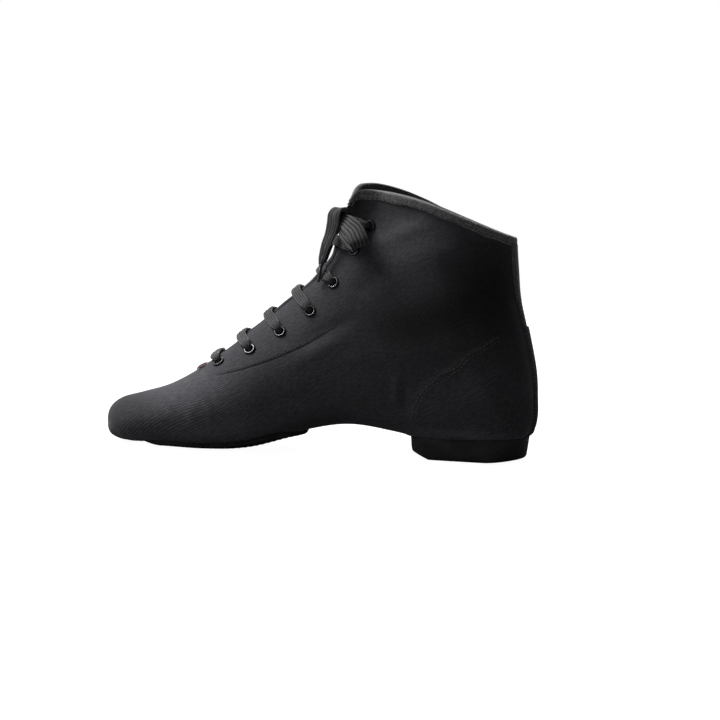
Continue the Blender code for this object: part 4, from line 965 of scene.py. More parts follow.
# Black moulded rubber: matt, with a fine pebbled skin and a grey bloom of dust where it scuffs
rubber, tree, shader = finish_of("black_moulded_rubber", {"Roughness": 0.72, "Specular IOR Level": 0.3})
place = node(tree, "TexCoord")
pebble = node(tree, "TexNoise", inputs={
    "Vector": place, "Scale": 1 / (0.9 * MM), "Detail": 3.0})
dust = node(tree, "TexNoise", inputs={
    "Vector": place, "Scale": 1 / (14.0 * MM), "Detail": 5.0, "Roughness": 0.7})
bloom = node(tree, "MapRange", inputs={
    "Value": dust, "From Min": 0.45, "From Max": 0.75, "To Min": 0.0, "To Max": 1.0})
colour = node(tree, "Mix", {"data_type": "RGBA"}, {
    0: bloom, 6: "#252526", 7: "#38383a"})
raised = node(tree, "Bump", inputs={
    "Strength": 0.35, "Distance": 0.15 * MM, "Height": pebble})
plug(tree, shader, {"Base Color": colour, "Normal": raised})
add_sheet("forefoot_sole_rubber", low_f, top_f, rubber, "rubber", ("forefoot_sole",))


# Heel block. The back half of the split sole: a low moulded rubber block, hollowed to seat the heel and
# cut back along its lower front edge.

HEEL_CHAMFER_LONG, HEEL_CHAMFER_HIGH = 10.5, 5.5
HEEL_WORN, HEEL_WORN_FROM = 2.0, 92.0
# The breast's bulge, and its corners: how far in the straight part ends, and where the side begins
BREAST_BULGE, BREAST_IN, BREAST_ALONG, BREAST_ASIDE = 0.6, 3.5, 3.0, 0.4
SEAT_ROOM = 0.4
# From the tread up the wall and in over the seat: distance in from the outline, share of the height
HEEL_LEVELS = (
    (4.0, 0.0), (2.9, 0.0), (2.2, 0.012), (1.7, 0.04), (1.4, 0.085), (1.2, 0.15), (0.9, 0.35), (0.6, 0.55),
    (0.3, 0.8), (0.06, 0.955), (0.15, 0.985), (0.45, 1.0), (1.6, 1.0), (3.5, 1.0), (6.0, 1.0), (10.0, 1.0),
    (15.0, 1.0), (21.0, 1.0),
)


def heel_outline(inset):
    """The heel's plan: a nearly straight breast, round corners, sides that run into a half ellipse
    behind, with its corners cut three times over to round them."""
    half, front = HEEL_HALF_WIDTH - inset, HEEL_BREAST_X + inset
    long = half * HEEL_ROUNDNESS
    arc = np.linspace(-math.pi / 2, math.pi / 2, 25)
    behind = np.column_stack([HEEL_BACK_X - inset - long + long * np.cos(arc), half * np.sin(arc)])
    edge, corner = (front, half - min(BREAST_IN, 0.5 * half)), (front + BREAST_ALONG, half - BREAST_ASIDE)
    plan = np.array([
        (front - BREAST_BULGE, 0.0), (edge[0], -edge[1]), (corner[0], -corner[1]), *behind, corner, edge])
    for _ in range(3):
        onward = np.roll(plan, -1, axis=0)
        plan = np.stack([0.75 * plan + 0.25 * onward, 0.25 * plan + 0.75 * onward], axis=1).reshape(-1, 2)
    return plan


def numbers(grid):
    """The vertex numbers of a grid of points, row by row."""
    return np.arange(grid.size // 3).reshape(grid.shape[:-1])


def cap(ring):
    """Faces that close a ring of an even number of points: strips between points across from each
    other, facing the way that the ring turns about."""
    half = len(ring) // 2
    i = np.arange(half - 1)
    return np.stack([ring[i], ring[i + 1], ring[-2 - i], ring[-1 - i]], axis=-1)


def tube(index):
    """Faces of a closed tube from rings of vertex numbers: the wall round it and a cap at each end."""
    wall = quads(np.pad(index, ((0, 0), (0, 1)), mode="wrap"))
    return np.concatenate([wall, cap(index[0])[:, ::-1], cap(index[-1])])


SEAT_FROM, SEAT_TO, SEAT_TURN = 8.6, 13.0, 1.75
seat_s, seat_turn = np.meshgrid(
    np.linspace(SEAT_FROM, SEAT_TO, 90), np.linspace(SEAT_TURN, 2 * math.pi - SEAT_TURN, 241), indexing="ij")
seat = last(seat_s, seat_turn) + outward(seat_s, seat_turn) * SEAT_ROOM
seat = seat[outward(seat_s, seat_turn)[..., 2] < -0.05]
levels = []
for inset, share in HEEL_LEVELS:
    plan = heel_outline(inset)
    top = heel_top(plan[:, 0])
    nearest = ((plan[:, None] - seat[None, :, :2]) ** 2).sum(-1).argmin(axis=1)
    bed = np.where(np.linalg.norm(plan - seat[nearest, :2], axis=-1) < 1.5, seat[nearest, 2], 99.0)
    bed = np.maximum(bed, top * step(heel_edge(*plan.T), *SEAT_SHARE))
    wear_and_painted_light = HEEL_WORN * step(plan[:, 0], HEEL_WORN_FROM, HEEL_BACK_X)
    height = wear_and_painted_light + share * (np.minimum(top, np.maximum(bed, 1.0)) - wear_and_painted_light)
    slope = HEEL_CHAMFER_HIGH * (1 - (plan[:, 0] - HEEL_BREAST_X) / HEEL_CHAMFER_LONG)
    levels.append(np.column_stack([plan, np.maximum(height, slope)]))
levels = np.stack(levels)
add_piece(
    "heel_block_rubber", levels.reshape(-1, 3), tube(numbers(levels)), rubber, "rubber", ("heel_block",),
    sharp=40.0)


# Collar binding. Cotton twill tape folded over the collar's edge from one throat corner round to the
# other, and stitched through both legs close to its lower edges.

BINDING_DEEP, SEAM_DEEP, COLLAR_STEP = 4.6, 3.7, 0.05
# Round the folded tape: depth below the collar's edge and height over the canvas
BINDING_PROFILE = np.array((
    (4.60, 0.05), (4.62, 0.40), (4.45, 0.72), (4.15, 0.86), (3.70, 0.78), (2.95, 0.88), (2.00, 0.95),
    (1.00, 0.97), (0.25, 0.92), (-0.35, 0.68), (-0.70, 0.25), (-0.86, -0.35), (-0.88, -0.95), (-0.76, -1.55),
    (-0.45, -2.05), (0.10, -2.38), (1.00, -2.50), (2.15, -2.50), (3.30, -2.48), (4.15, -2.46), (4.50, -2.35),
    (4.62, -2.10), (4.55, -1.75)))


def below_collar(turn, depth):
    """Section numbers that lie so far below the collar's edge."""
    rise = last(COLLAR, turn) - last(COLLAR - COLLAR_STEP, turn)
    return COLLAR - depth * COLLAR_STEP / np.linalg.norm(rise, axis=-1)


def over_collar(turn, depth, height):
    """Points at a depth below the collar's edge, or above it where less than nought, and at a height
    over the canvas."""
    inside_edge = np.maximum(depth, 0.0)
    up_edge = unit(skin(COLLAR, turn) - skin(COLLAR - COLLAR_STEP, turn))
    return skin(below_collar(turn, inside_edge), turn, height) + up_edge * (inside_edge - depth)[..., None]


near_turns, far_turns = (
    turn_at([COLLAR], np.linspace(throat_half(COLLAR) - 0.3, RING_ARC[far][-1, -1], 210)[None], far)[0]
    for far in (False, True))
collar_turns = np.concatenate([near_turns, far_turns[-2::-1]])
collar_run = run_along(skin(COLLAR, collar_turns))
STITCH_PITCH, STITCH_LONG = 2.4, 1.8
waver = 0.22 * np.sin(collar_run / 4.1) + 0.16 * np.sin(collar_run / 2.3 + 1.0)
pulled = 0.10 * np.cos(2 * math.pi * collar_run / STITCH_PITCH)
depth, height = BINDING_PROFILE[:, 0][None, :], BINDING_PROFILE[:, 1][None, :]
low_share = np.clip(depth / BINDING_DEEP, 0, 1)
depth_b = depth + waver[:, None] * low_share**2
height_b = height + np.where(height > 0, pulled[:, None] * bell(depth - SEAM_DEEP, 0.9), 0.0)
turns_b = np.broadcast_to(collar_turns[:, None], depth_b.shape)
binding = over_collar(turns_b, depth_b, height_b)
# The wall round the tape, and at each end strips between its outer leg and its inner leg
index_b = numbers(binding)
faces_b = np.concatenate([
    quads(np.pad(index_b, ((0, 0), (0, 1)), mode="wrap"))[:, ::-1],
    cap(index_b[0, :-1]), cap(index_b[-1, :-1])[:, ::-1]])
profile_run = run_along(BINDING_PROFILE)
uv_b = np.stack(np.broadcast_arrays(collar_run[:, None], profile_run[None, :]), axis=-1).reshape(-1, 2)

# Black cotton tape: a fine herringbone of yarns, washed to a mottled grey along its crests, with a painted
# highlight along the rim of the fold
RIM_RUN, RIM_HALF = 5.7, 1.3
tape, tree, shader = finish_of("washed_black_cotton_tape", {
    "Roughness": 0.9, "Specular IOR Level": 0.12, "Sheen Weight": 0.2, "Sheen Roughness": 0.4})
cloth_map = node(tree, "UVMap", {"uv_map": "cloth"})
slant = node(tree, "Mapping", inputs={
    "Vector": cloth_map, "Rotation": (0.0, 0.0, math.radians(38.0))})
rib = node(tree, "TexWave", {"bands_direction": "X"}, {
    "Vector": slant, "Scale": WAVE / 0.95, "Distortion": 4.5, "Detail": 3.0, "Detail Scale": 1.6})
wear_and_painted_light = node(tree, "TexNoise", inputs={
    "Vector": cloth_map, "Scale": 1 / 1.3, "Detail": 3.0, "Roughness": 0.65})
patchy = node(tree, "MapRange", inputs={
    "Value": wear_and_painted_light, "From Min": 0.32, "From Max": 0.66, "To Min": 0.15, "To Max": 1.0})
lit = node(tree, "Math", {"operation": "MULTIPLY"}, {0: rib, 1: patchy})
across_tape = node(tree, "SeparateXYZ", inputs={0: cloth_map})
from_rim = node(tree, "Math", {"operation": "SUBTRACT"}, {0: across_tape, 1: RIM_RUN})
from_rim = node(tree, "Math", {"operation": "ABSOLUTE"}, {0: from_rim})
# Painted highlight: the tape's colour is lightened along the rim of its fold
rim_highlight = node(tree, "MapRange", {"interpolation_type": "SMOOTHSTEP"}, {
    "Value": from_rim, "From Min": RIM_HALF, "From Max": 0.2, "To Min": 0.0, "To Max": 0.45})
rubbed_and_painted_highlight = node(tree, "Math", {"operation": "ADD", "use_clamp": True}, {
    0: lit, 1: rim_highlight})
colour = node(tree, "Mix", {"data_type": "RGBA"}, {
    0: rubbed_and_painted_highlight, 6: "#2b2b2b", 7: "#8e8e8d"})
raised = node(tree, "Bump", inputs={
    "Strength": 0.6, "Distance": 0.25 * MM, "Height": rib})
plug(tree, shader, {"Base Color": colour, "Normal": raised})
add_piece("collar_binding_tape", binding.reshape(-1, 3), faces_b, tape, "tape", ("collar_binding",), uv_b)


# Backstay. A strip of canvas over the back seam from the heel to the binding, stitched down both edges.
# It stands prouder below its join, where the counter lies under it.

BACKSTAY_FROM, BACKSTAY_HALF_LOW, BACKSTAY_HALF_TOP, BACKSTAY_THICK = 11.8, 8.0, 11.5, 1.1
BACKSTAY_JOIN, COUNTER_THICK = 14.6, 0.55
BACKSTAY_CLEAR, BACKSTAY_END, BACKSTAY_SEAM, SEAM_SUNK = 0.15, 0.22, 0.80, 0.22


def over_counter(s):
    """How much prouder the backstay stands where the counter lies under it, up to its join."""
    return COUNTER_THICK * (1 - step(s, BACKSTAY_JOIN - 0.03, BACKSTAY_JOIN + 0.01))


backstay_top = float(below_collar(np.array([math.pi]), np.array([BINDING_DEEP - 0.8]))[0])
rows_k = np.sort(np.concatenate([
    np.linspace(BACKSTAY_FROM, backstay_top, 90), BACKSTAY_JOIN + np.linspace(-0.06, 0.06, 9)]))
widening = step(rows_k, rows_k[0], rows_k[-1])
reach_k = BACKSTAY_HALF_LOW + (BACKSTAY_HALF_TOP - BACKSTAY_HALF_LOW) * widening
short_of = 1 - np.clip((rows_k - rows_k[0]) / BACKSTAY_END, 0, 1)
reach_k = reach_k * np.sqrt(np.clip(1 - short_of**2, 0.2, 1))
turns_k = sheet_turns(rows_k, reach_k, 14, True)
s_k = np.broadcast_to(rows_k[:, None], turns_k.shape)
edge_k = np.abs(np.linspace(-1, 1, turns_k.shape[1]))[None, :]
end_k = np.clip((rows_k - rows_k[0]) / 0.10, 0, 1)[:, None]
thick_k = BACKSTAY_THICK * (0.40 + 0.60 * np.clip(1 - edge_k**10, 0, 1) ** 0.5)
thick_k = thick_k * (0.4 + 0.6 * np.sqrt(end_k)) - SEAM_SUNK * bell(edge_k - BACKSTAY_SEAM, 0.06)
over_k = skin(s_k, turns_k, BACKSTAY_CLEAR + thick_k + over_counter(s_k))
under_k = skin(s_k, turns_k, 0.1)
# Painted light: the backstay's colour is lightened evenly, though it faces away from the key lamp
add_sheet("backstay_canvas", over_k, under_k, canvas, "tape", ("backstay",), 0.9, 1.1)


# Stitching. Black cotton thread in lockstitch: a row along the binding and the lapped panel, two rows
# round the counter and one down each edge of the backstay.

THREAD_R, THREAD_DIP = 0.26, 0.30


def read_along(at, run, values):
    """Rows of values read at distances along their run, by straight lines."""
    return np.stack([np.interp(at, run, column) for column in np.asarray(values).T], axis=-1)


def stitches(path, out, pitch, length, radius=THREAD_R, proud_by=0.12):
    """Stitches along a line: at every pitch a short thread, thickest in its middle, that arches out of
    the cloth and dips into it at both ends. Points (stitch, ring, side) and faces."""
    run = run_along(path)
    at = np.arange(pitch, run[-1] - pitch, pitch)
    a, b = (read_along(at + way * length / 2, run, path) for way in (-1, 1))
    lift = unit(read_along(at, run, out))
    ahead = unit(b - a)
    aside = unit(np.cross(ahead, lift))
    t = np.linspace(-1, 1, 7)
    turn = np.arange(6) * math.pi / 3
    spine = (a + b)[:, None] / 2 + (b - a)[:, None] / 2 * t[None, :, None]
    spine = spine + lift[:, None] * (proud_by - THREAD_DIP * t**4)[None, :, None]
    thick = radius * np.sqrt(1 - 0.8 * t**2)
    ring = aside[:, None] * np.cos(turn)[None, :, None] + lift[:, None] * np.sin(turn)[None, :, None]
    points = spine[:, :, None] + ring[:, None] * thick[None, :, None, None]
    index = numbers(points)
    faces = tube(index[0])[None, :, ::-1] + index[:, :1, :1]
    return points.reshape(-1, 3), faces.reshape(-1, 4)


def seam(s, turn, offset, pitch, length=None, radius=THREAD_R):
    """Stitches along a line of sections and turns, on the canvas moved out by offset."""
    return stitches(skin(s, turn, offset), outward(s, turn), pitch, length or 0.78 * pitch, radius)


def joined(parts):
    """The points and the faces of several parts in one list each, faces counting on from part to part."""
    points, faces = zip(*parts)
    begins = np.cumsum([0, *(len(p) for p in points[:-1])])
    return np.concatenate(points), np.concatenate([f + begin for f, begin in zip(faces, begins)])


def add_seam(name, seams, finish):
    """Several rows of stitches as one piece."""
    return add_piece(name, *joined(seams), finish, "tape")


# Spun black thread: two plies twisted, a little glossier than the cloth and mottled with dusty grey
thread, *_ = mottled(
    "black_cotton_thread", {"Roughness": 0.65, "Specular IOR Level": 0.3}, 0.8, 2.0, "#242425", "#505052")

seam_turns = collar_turns[4:-4]
collar_seam = over_collar(seam_turns, SEAM_DEEP + waver[4:-4], np.full_like(seam_turns, 0.82))
collar_out = outward(below_collar(seam_turns, np.full_like(seam_turns, SEAM_DEEP)), seam_turns)
add_seam("binding_stitches", [stitches(collar_seam, collar_out, STITCH_PITCH, STITCH_LONG)], thread)

# The panel's row: how far in from the lapped edge, how far out of the canvas, and its pitch
PANEL_SEAM_IN, PANEL_SEAM_OUT, PANEL_PITCH, FINE_THREAD_R = 1.7, -0.05, 2.3, 0.2
panel_s = np.linspace(5.06, 8.1, 240)
panel_rows = []
for far in (False, True):
    edge_turn = panel_edge(panel_s)
    edge_at = from_throat(panel_s, 2 * math.pi - edge_turn if far else edge_turn)
    panel_turn = turn_at(panel_s, (edge_at - PANEL_SEAM_IN)[:, None], far)[:, 0]
    panel_rows.append(seam(panel_s, panel_turn, PANEL_SEAM_OUT, PANEL_PITCH, radius=FINE_THREAD_R))
add_seam("panel_stitches", panel_rows, thread)


def places_on_side(route, far):
    """Sections and turns of a side-view route on one side of the last: the nearest of a fine grid."""
    line = curve_through(route, np.linspace(0, len(route) - 1, 160))
    s, phi = np.meshgrid(np.linspace(8.5, 15.5, 420), np.linspace(1.2, 2.95, 260), indexing="ij")
    turn = 2 * math.pi - phi if far else phi
    flat = last(s, turn)[..., [0, 2]].reshape(-1, 2)
    nearest = np.array([((flat - p) ** 2).sum(-1).argmin() for p in line])
    smooth = np.hanning(33)[1:-1]
    found = []
    for grid in (s, turn):
        value = np.pad(grid.reshape(-1)[nearest], 15, mode="reflect", reflect_type="odd")
        found.append(np.convolve(value, smooth / smooth.sum(), mode="valid"))
    return found


# The counter's two rows: how far in from its edge, how far out of the canvas, and their thread
COUNTER_ROWS, COUNTER_SEAM_OUT, COUNTER_THREAD_R = (1.3, 3.4), -0.06, 0.21
counter_rows = []
for far in (False, True):
    for aside in COUNTER_ROWS:
        shifted = curve_through(COUNTER[1:-2], np.linspace(0, len(COUNTER) - 4, 160))
        way = unit(np.gradient(shifted, axis=0))
        moved = shifted + np.stack([way[:, 1], -way[:, 0]], axis=-1) * aside
        line_s, line_turn = places_on_side(moved[::10], far)
        counter_rows.append(seam(line_s, line_turn, COUNTER_SEAM_OUT, STITCH_PITCH, radius=COUNTER_THREAD_R))
add_seam("counter_stitches", counter_rows, thread)

stay_rows = []
stay_s = np.linspace(rows_k[6], backstay_top - 0.05, 200)
stay_reach = np.interp(stay_s, rows_k, reach_k) * BACKSTAY_SEAM
stay_out = BACKSTAY_CLEAR + BACKSTAY_THICK - 0.2 + over_counter(stay_s)
for far in (False, True):
    stay_turn = turn_at(stay_s, stay_reach[:, None], far, True)[:, 0]
    stay_way = outward(stay_s, stay_turn)
    path = last(stay_s, stay_turn) + stay_way * (relief(stay_s, stay_turn) + stay_out)[:, None]
    stay_rows.append(stitches(path, stay_way, STITCH_PITCH, STITCH_LONG))
add_seam("backstay_stitches", stay_rows, thread)


# Eyelets. Small brass rings pressed through the canvas and clinched behind, lacquered black: a rolled
# flange in front, a plain barrel and a rough clinch inside.

EYELET_SEGMENTS = 40
# Round the metal: radius and height over the canvas, out over the flange, down and up the hole
EYELET_PROFILE = np.array((
    (2.30, 0.55), (2.42, 0.80), (2.66, 0.95), (2.95, 0.98), (3.24, 0.86), (3.46, 0.62), (3.56, 0.32),
    (3.50, 0.08), (3.30, 0.00), (2.62, 0.02), (2.58, -1.50), (2.90, -1.72), (3.25, -1.86), (3.30, -2.02),
    (2.90, -2.12), (2.45, -2.02), (2.28, -1.70), (2.26, -0.60)))

# Black lacquered brass: a dark gloss, worn by the lace to bright grey metal round the lip of the hole
metal, tree, shader = finish_of("black_lacquered_brass", {"Metallic": 0.9})
place = node(tree, "TexCoord")
rubbed_and_painted_highlight = node(tree, "TexNoise", inputs={
    "Vector": place, "Scale": 1 / (1.1 * MM), "Detail": 3.0})
cloth_map = node(tree, "UVMap", {"uv_map": "cloth"})
round_metal = node(tree, "SeparateXYZ", inputs={0: cloth_map})
lip = node(tree, "MapRange", {"interpolation_type": "SMOOTHSTEP"}, {
    "Value": round_metal, "From Min": 0.95, "From Max": 0.35, "To Min": 0.0, "To Max": 1.0})
wear_and_painted_light = node(tree, "Math", {"operation": "MULTIPLY_ADD", "use_clamp": True}, {
    0: rubbed_and_painted_highlight, 1: 0.06, 2: lip})
colour = node(tree, "Mix", {"data_type": "RGBA"}, {
    0: wear_and_painted_light, 6: "#19191b", 7: "#98989c"})
dull = node(tree, "MapRange", inputs={
    "Value": rubbed_and_painted_highlight, "From Min": 0.3, "From Max": 0.7, "To Min": 0.28, "To Max": 0.36})
plug(tree, shader, {"Base Color": colour, "Roughness": dull})

about = np.arange(EYELET_SEGMENTS) * 2 * math.pi / EYELET_SEGMENTS
index_e = np.arange(len(EYELET_PROFILE) * EYELET_SEGMENTS).reshape(len(EYELET_PROFILE), EYELET_SEGMENTS)
faces_e = quads(np.pad(index_e, ((0, 1), (0, 1)), mode="wrap"))[:, ::-1]
round_e = run_along(EYELET_PROFILE)
uv_e = np.stack(np.broadcast_arrays(2.9 * about[None, :], round_e[:, None]), axis=-1).reshape(-1, 2)
for side, turns_e in zip(("medial", "lateral"), EYELET_TURNS):
    seats = skin(EYELET_S, turns_e)
    axes = outward(EYELET_S, turns_e)
    first = unit(np.cross(axes, (0.3, 0.0, 1.0)))
    second = np.cross(axes, first)
    for k in range(len(EYELETS)):
        ring = first[k] * np.cos(about)[:, None] + second[k] * np.sin(about)[:, None]
        points = seats[k] + ring[None] * EYELET_PROFILE[:, 0][:, None, None]
        points = points + axes[k] * EYELET_PROFILE[:, 1][:, None, None]
        name = f"eyelet_{side}_{k + 1}"
        add_piece(f"{name}_ring", points.reshape(-1, 3), faces_e, metal, "eyelet_metal", (name,), uv_e)


# Lace bars. One flat cotton braid laced straight across: at each row a bar over the throat that turns
# down into its two eyelets, and at the top row a strand from each eyelet to the knot.

LACE_THICK, BAR_THICK, BAR_WIDTH, LACE_RIBS, LACE_RIB_HIGH = 1.5, 2.2, 6.2, 5, 0.22
LACE_SIDES = 72
BAR_ROUTE = ((0.7, -1.6, 2.6), (0.8, 0.7, 2.8), (1.7, 2.2, 3.8), (4.4, 2.6, 5.2), (8.0, 1.8, 6.0))
BAR_EDGE_HEIGHT, BAR_MIDDLE_HEIGHT = 1.5, 1.7
CROSSING_STEPS = 30
KNOT_CENTRE, KNOT_HALF = np.array((3.2, -1.0, 135.2)), np.array((3.8, 4.6, 4.2))
STRAND_AIM, STRAND_AIM_ASIDE, STRAND_CLEAR, STRAND_END_WIDTH = (9.2, -1.0, 134.0), 2.4, 0.4, 3.6

section_turn = (np.arange(LACE_SIDES) + 0.5) * 2 * math.pi / LACE_SIDES
section_a = 0.5 * np.sign(np.cos(section_turn)) * np.abs(np.cos(section_turn)) ** 0.7
section_b = 0.5 * np.sign(np.sin(section_turn)) * np.abs(np.sin(section_turn)) ** 0.75


def braid(path, across, width, thick):
    """A flat braid along a path: at each point a flattened superellipse, as wide as width along the
    across direction, with lengthwise ribs that sway a little raised on both faces. Points, faces and a
    flat map."""
    ahead = unit(np.gradient(path, axis=0))
    across = unit(across - ahead * (across * ahead).sum(-1, keepdims=True))
    over = np.cross(ahead, across)
    run = run_along(path)
    sway = 0.12 * np.sin(run / 4.3) + 0.08 * np.sin(run / 1.7 + 1.0)
    rib_at = section_a[None, :] + sway[:, None] / LACE_RIBS
    ribs = LACE_RIB_HIGH * np.cos(2 * math.pi * LACE_RIBS * rib_at) * np.sign(section_b)
    lift = section_b[None, :] * thick[:, None] + ribs * (np.abs(section_b) > 0.2)
    points = path[:, None] + across[:, None] * (section_a[None, :] * width[:, None])[..., None]
    points = points + over[:, None] * lift[..., None]
    flat = np.stack(np.broadcast_arrays(rib_at * BAR_WIDTH, run[:, None]), axis=-1)
    return points.reshape(-1, 3), tube(numbers(points)), flat.reshape(-1, 2)


# Black cotton braid, washed grey: ribs of slanting yarn with dark grooves between them
lace, tree, shader = finish_of("washed_black_cotton_braid", {
    "Roughness": 0.85, "Specular IOR Level": 0.15, "Sheen Weight": 0.25, "Sheen Roughness": 0.4})
cloth_map = node(tree, "UVMap", {"uv_map": "cloth"})
rib = node(tree, "TexWave", {"bands_direction": "X"}, {
    "Vector": cloth_map, "Scale": WAVE * LACE_RIBS / BAR_WIDTH, "Phase Offset": math.pi / 2,
    "Distortion": 1.8, "Detail": 3.0, "Detail Scale": 2.2, "Detail Roughness": 0.7})
slant = node(tree, "Mapping", inputs={
    "Vector": cloth_map, "Rotation": (0.0, 0.0, math.radians(34.0))})
yarn = node(tree, "TexWave", {"bands_direction": "Y"}, {
    "Vector": slant, "Scale": WAVE / 0.9, "Distortion": 2.6, "Detail": 3.0})
bumpy = node(tree, "Math", {"operation": "MULTIPLY_ADD"}, {0: yarn, 1: 0.45, 2: 0.55})
weave = node(tree, "Math", {"operation": "MULTIPLY"}, {0: rib, 1: bumpy})
colour = node(tree, "Mix", {"data_type": "RGBA"}, {
    0: weave, 6: "#101011", 7: "#545456"})
raised = node(tree, "Bump", inputs={
    "Strength": 0.7, "Distance": 0.25 * MM, "Height": weave})
plug(tree, shader, {"Base Color": colour, "Normal": raised})


def crossing(s, start, far):
    """A path that leaves row s this far from the throat line and climbs to that line square to it: at
    each short step the section number falls by the climb's share along the throat."""
    reach = np.linspace(start, 0.0, CROSSING_STEPS + 1)
    sections = [s]
    for here, there in zip(reach[:-1], reach[1:]):
        at = sections[-1]
        low, high = turn_at([at], [[here, there]], far)[0]
        climb = last(at, high) - last(at, low)
        throat = (last(at + 0.02, low) - last(at - 0.02, low)) / 0.04
        sections.append(at - float(climb @ throat) / float(throat @ throat))
    return start - reach, np.array(sections)


def bar_half(s, margin, far):
    """Half a lace bar, from inside its eyelet to the throat's edge, square to the throat: points,
    sections, turns and widths."""
    start = float(throat_half(s)) + margin
    climbed, sections = crossing(s, start, far)
    along, height, width = np.array((*BAR_ROUTE, (margin, BAR_EDGE_HEIGHT, BAR_WIDTH))).T
    at = np.interp(along, climbed, sections)
    turn = turn_at(at, (start - along)[:, None], far)[:, 0]
    return skin(at, turn, height), at, turn, width


def add_braid(name, points, faces, flat):
    """A braid as a piece of lace that stands for the solid of its name."""
    return add_piece(f"{name}_braid", points, faces, lace, "lace", (name,), flat)


def add_bar(name, points, s, turn, width, count):
    """A braid on a smooth curve through the stations of one row, its width lying along the throat."""
    at = np.linspace(0, len(points) - 1, count)
    across = unit(last(s + 0.02, turn) - last(s - 0.02, turn))
    path, across, width = (curve_through(stations, at) for stations in (points, across, width))
    return add_braid(name, *braid(path, across, width, np.full(count, BAR_THICK)))


def knot_face(toward, clear):
    """The point just clear of the knot's surface on the way to another point."""
    way = unit((np.asarray(toward) - KNOT_CENTRE) / KNOT_HALF)
    return KNOT_CENTRE + way * KNOT_HALF + unit(way / KNOT_HALF) * clear


for k, (s, margin) in enumerate(zip(EYELET_S, EYELETS[:, 1]), start=1):
    if k < len(EYELETS):
        start = float(throat_half(s)) + margin
        top = np.array([np.mean([crossing(s, start, far)[1][-1] for far in (False, True)])])
        bar_middle = (skin(top, 0.0 * top, BAR_MIDDLE_HEIGHT), top, 0.0 * top, 0.0 * top + BAR_WIDTH)
        parts = zip(bar_half(s, margin, False), bar_middle, bar_half(s, margin, True))
        add_bar(f"lace_bar_{k}", *(np.concatenate([a, b, c[::-1]]) for a, b, c in parts), 90)
        continue
    for side, far, aside in (("medial", False, -STRAND_AIM_ASIDE), ("lateral", True, STRAND_AIM_ASIDE)):
        half_bar = bar_half(s, margin, far)
        end = knot_face(np.array(STRAND_AIM) + (0.0, aside, 0.0), STRAND_CLEAR)
        last_of = (end[None], [s], half_bar[2][-1:], [STRAND_END_WIDTH])
        add_bar(f"lace_strand_{side}", *(np.concatenate([a, b]) for a, b in zip(half_bar, last_of)), 60)


# Bow. The lace's two ends tied in a flat bow over the top of the throat: a knot, a limp loop to each
# side and two hanging ends with plastic tips.

LOOP_ROUTE = (
    (4.4, -5.2, 134.6), (7.0, -9.2, 133.6), (10.2, -14.4, 131.6), (13.0, -18.8, 128.6),
    (15.2, -21.8, 125.4), (16.6, -22.8, 122.4), (16.6, -20.6, 120.2), (13.6, -18.4, 121.6),
    (9.6, -15.0, 124.6), (6.2, -9.8, 128.4), (4.4, -5.4, 131.4),
)
# Along a loop: the share of its length, its width and the way its width lies
LOOP_WIDTH = ((0.0, 6.8), (0.12, 9.4), (0.35, 11.2), (0.5, 11.0), (0.75, 8.4), (1.0, 5.0))
LOOP_ACROSS = (
    (0.0, 0.40, 0.0, 0.92), (0.25, 0.62, 0.0, 0.78), (0.5, 0.93, 0.0, 0.36), (0.75, 0.75, 0.0, 0.66),
    (1.0, 0.60, 0.0, 0.80))
END_ROUTE = (
    (7.6, -4.2, 136.8), (5.4, -5.2, 139.8), (2.6, -6.2, 140.0), (0.7, -6.9, 137.2), (0.1, -7.1, 132.0),
    (-1.0, -7.3, 126.0), (-3.0, -8.0, 119.8), (-4.5, -8.9, 113.4), (-5.1, -9.8, 110.2), (-5.4, -10.7, 107.4),
)
END_WIDTH = ((0.0, 5.8), (0.12, 8.6), (0.26, 9.6), (0.42, 9.0), (0.7, 7.6), (0.9, 5.4), (1.0, 2.3))
END_ACROSS = (0.80, -0.60, 0.05)
LOOP_STEPS, END_STEPS, LOOP_DIAMETER, END_DIAMETER = 120, 110, 0.008, 0.0066
# Along an end: the share of its length and its thickness
END_THICK = ((0.0, 1.5), (0.85, 1.6), (1.0, 1.9))
# Along a plastic tip: the distance from its top and the share of its radius
AGLET_R, AGLET_SIDES, AGLET_OVER = 1.15, 24, 0.6
AGLET_PROFILE = np.array((
    (0.0, 0.80), (0.15, 0.96), (0.5, 1.0), (1.2, 1.0), (1.5, 0.90), (1.8, 1.0), (5.0, 0.98), (8.6, 0.96),
    (8.9, 0.88), (9.2, 0.96), (9.9, 0.92), (10.3, 0.78), (10.5, 0.45)))


def other_side(points):
    """A route carried over to the lateral side, mirrored about the knot's middle."""
    points = np.array(points, float)
    points[:, 1] = 2 * KNOT_CENTRE[1] - points[:, 1]
    return points


def along_route(route, count):
    """Evenly spaced points on the smooth curve through a route."""
    fine_path = curve_through(route, np.linspace(0, len(route) - 1, 400))
    run = run_along(fine_path)
    return read_along(np.linspace(0, run[-1], count), run, fine_path)


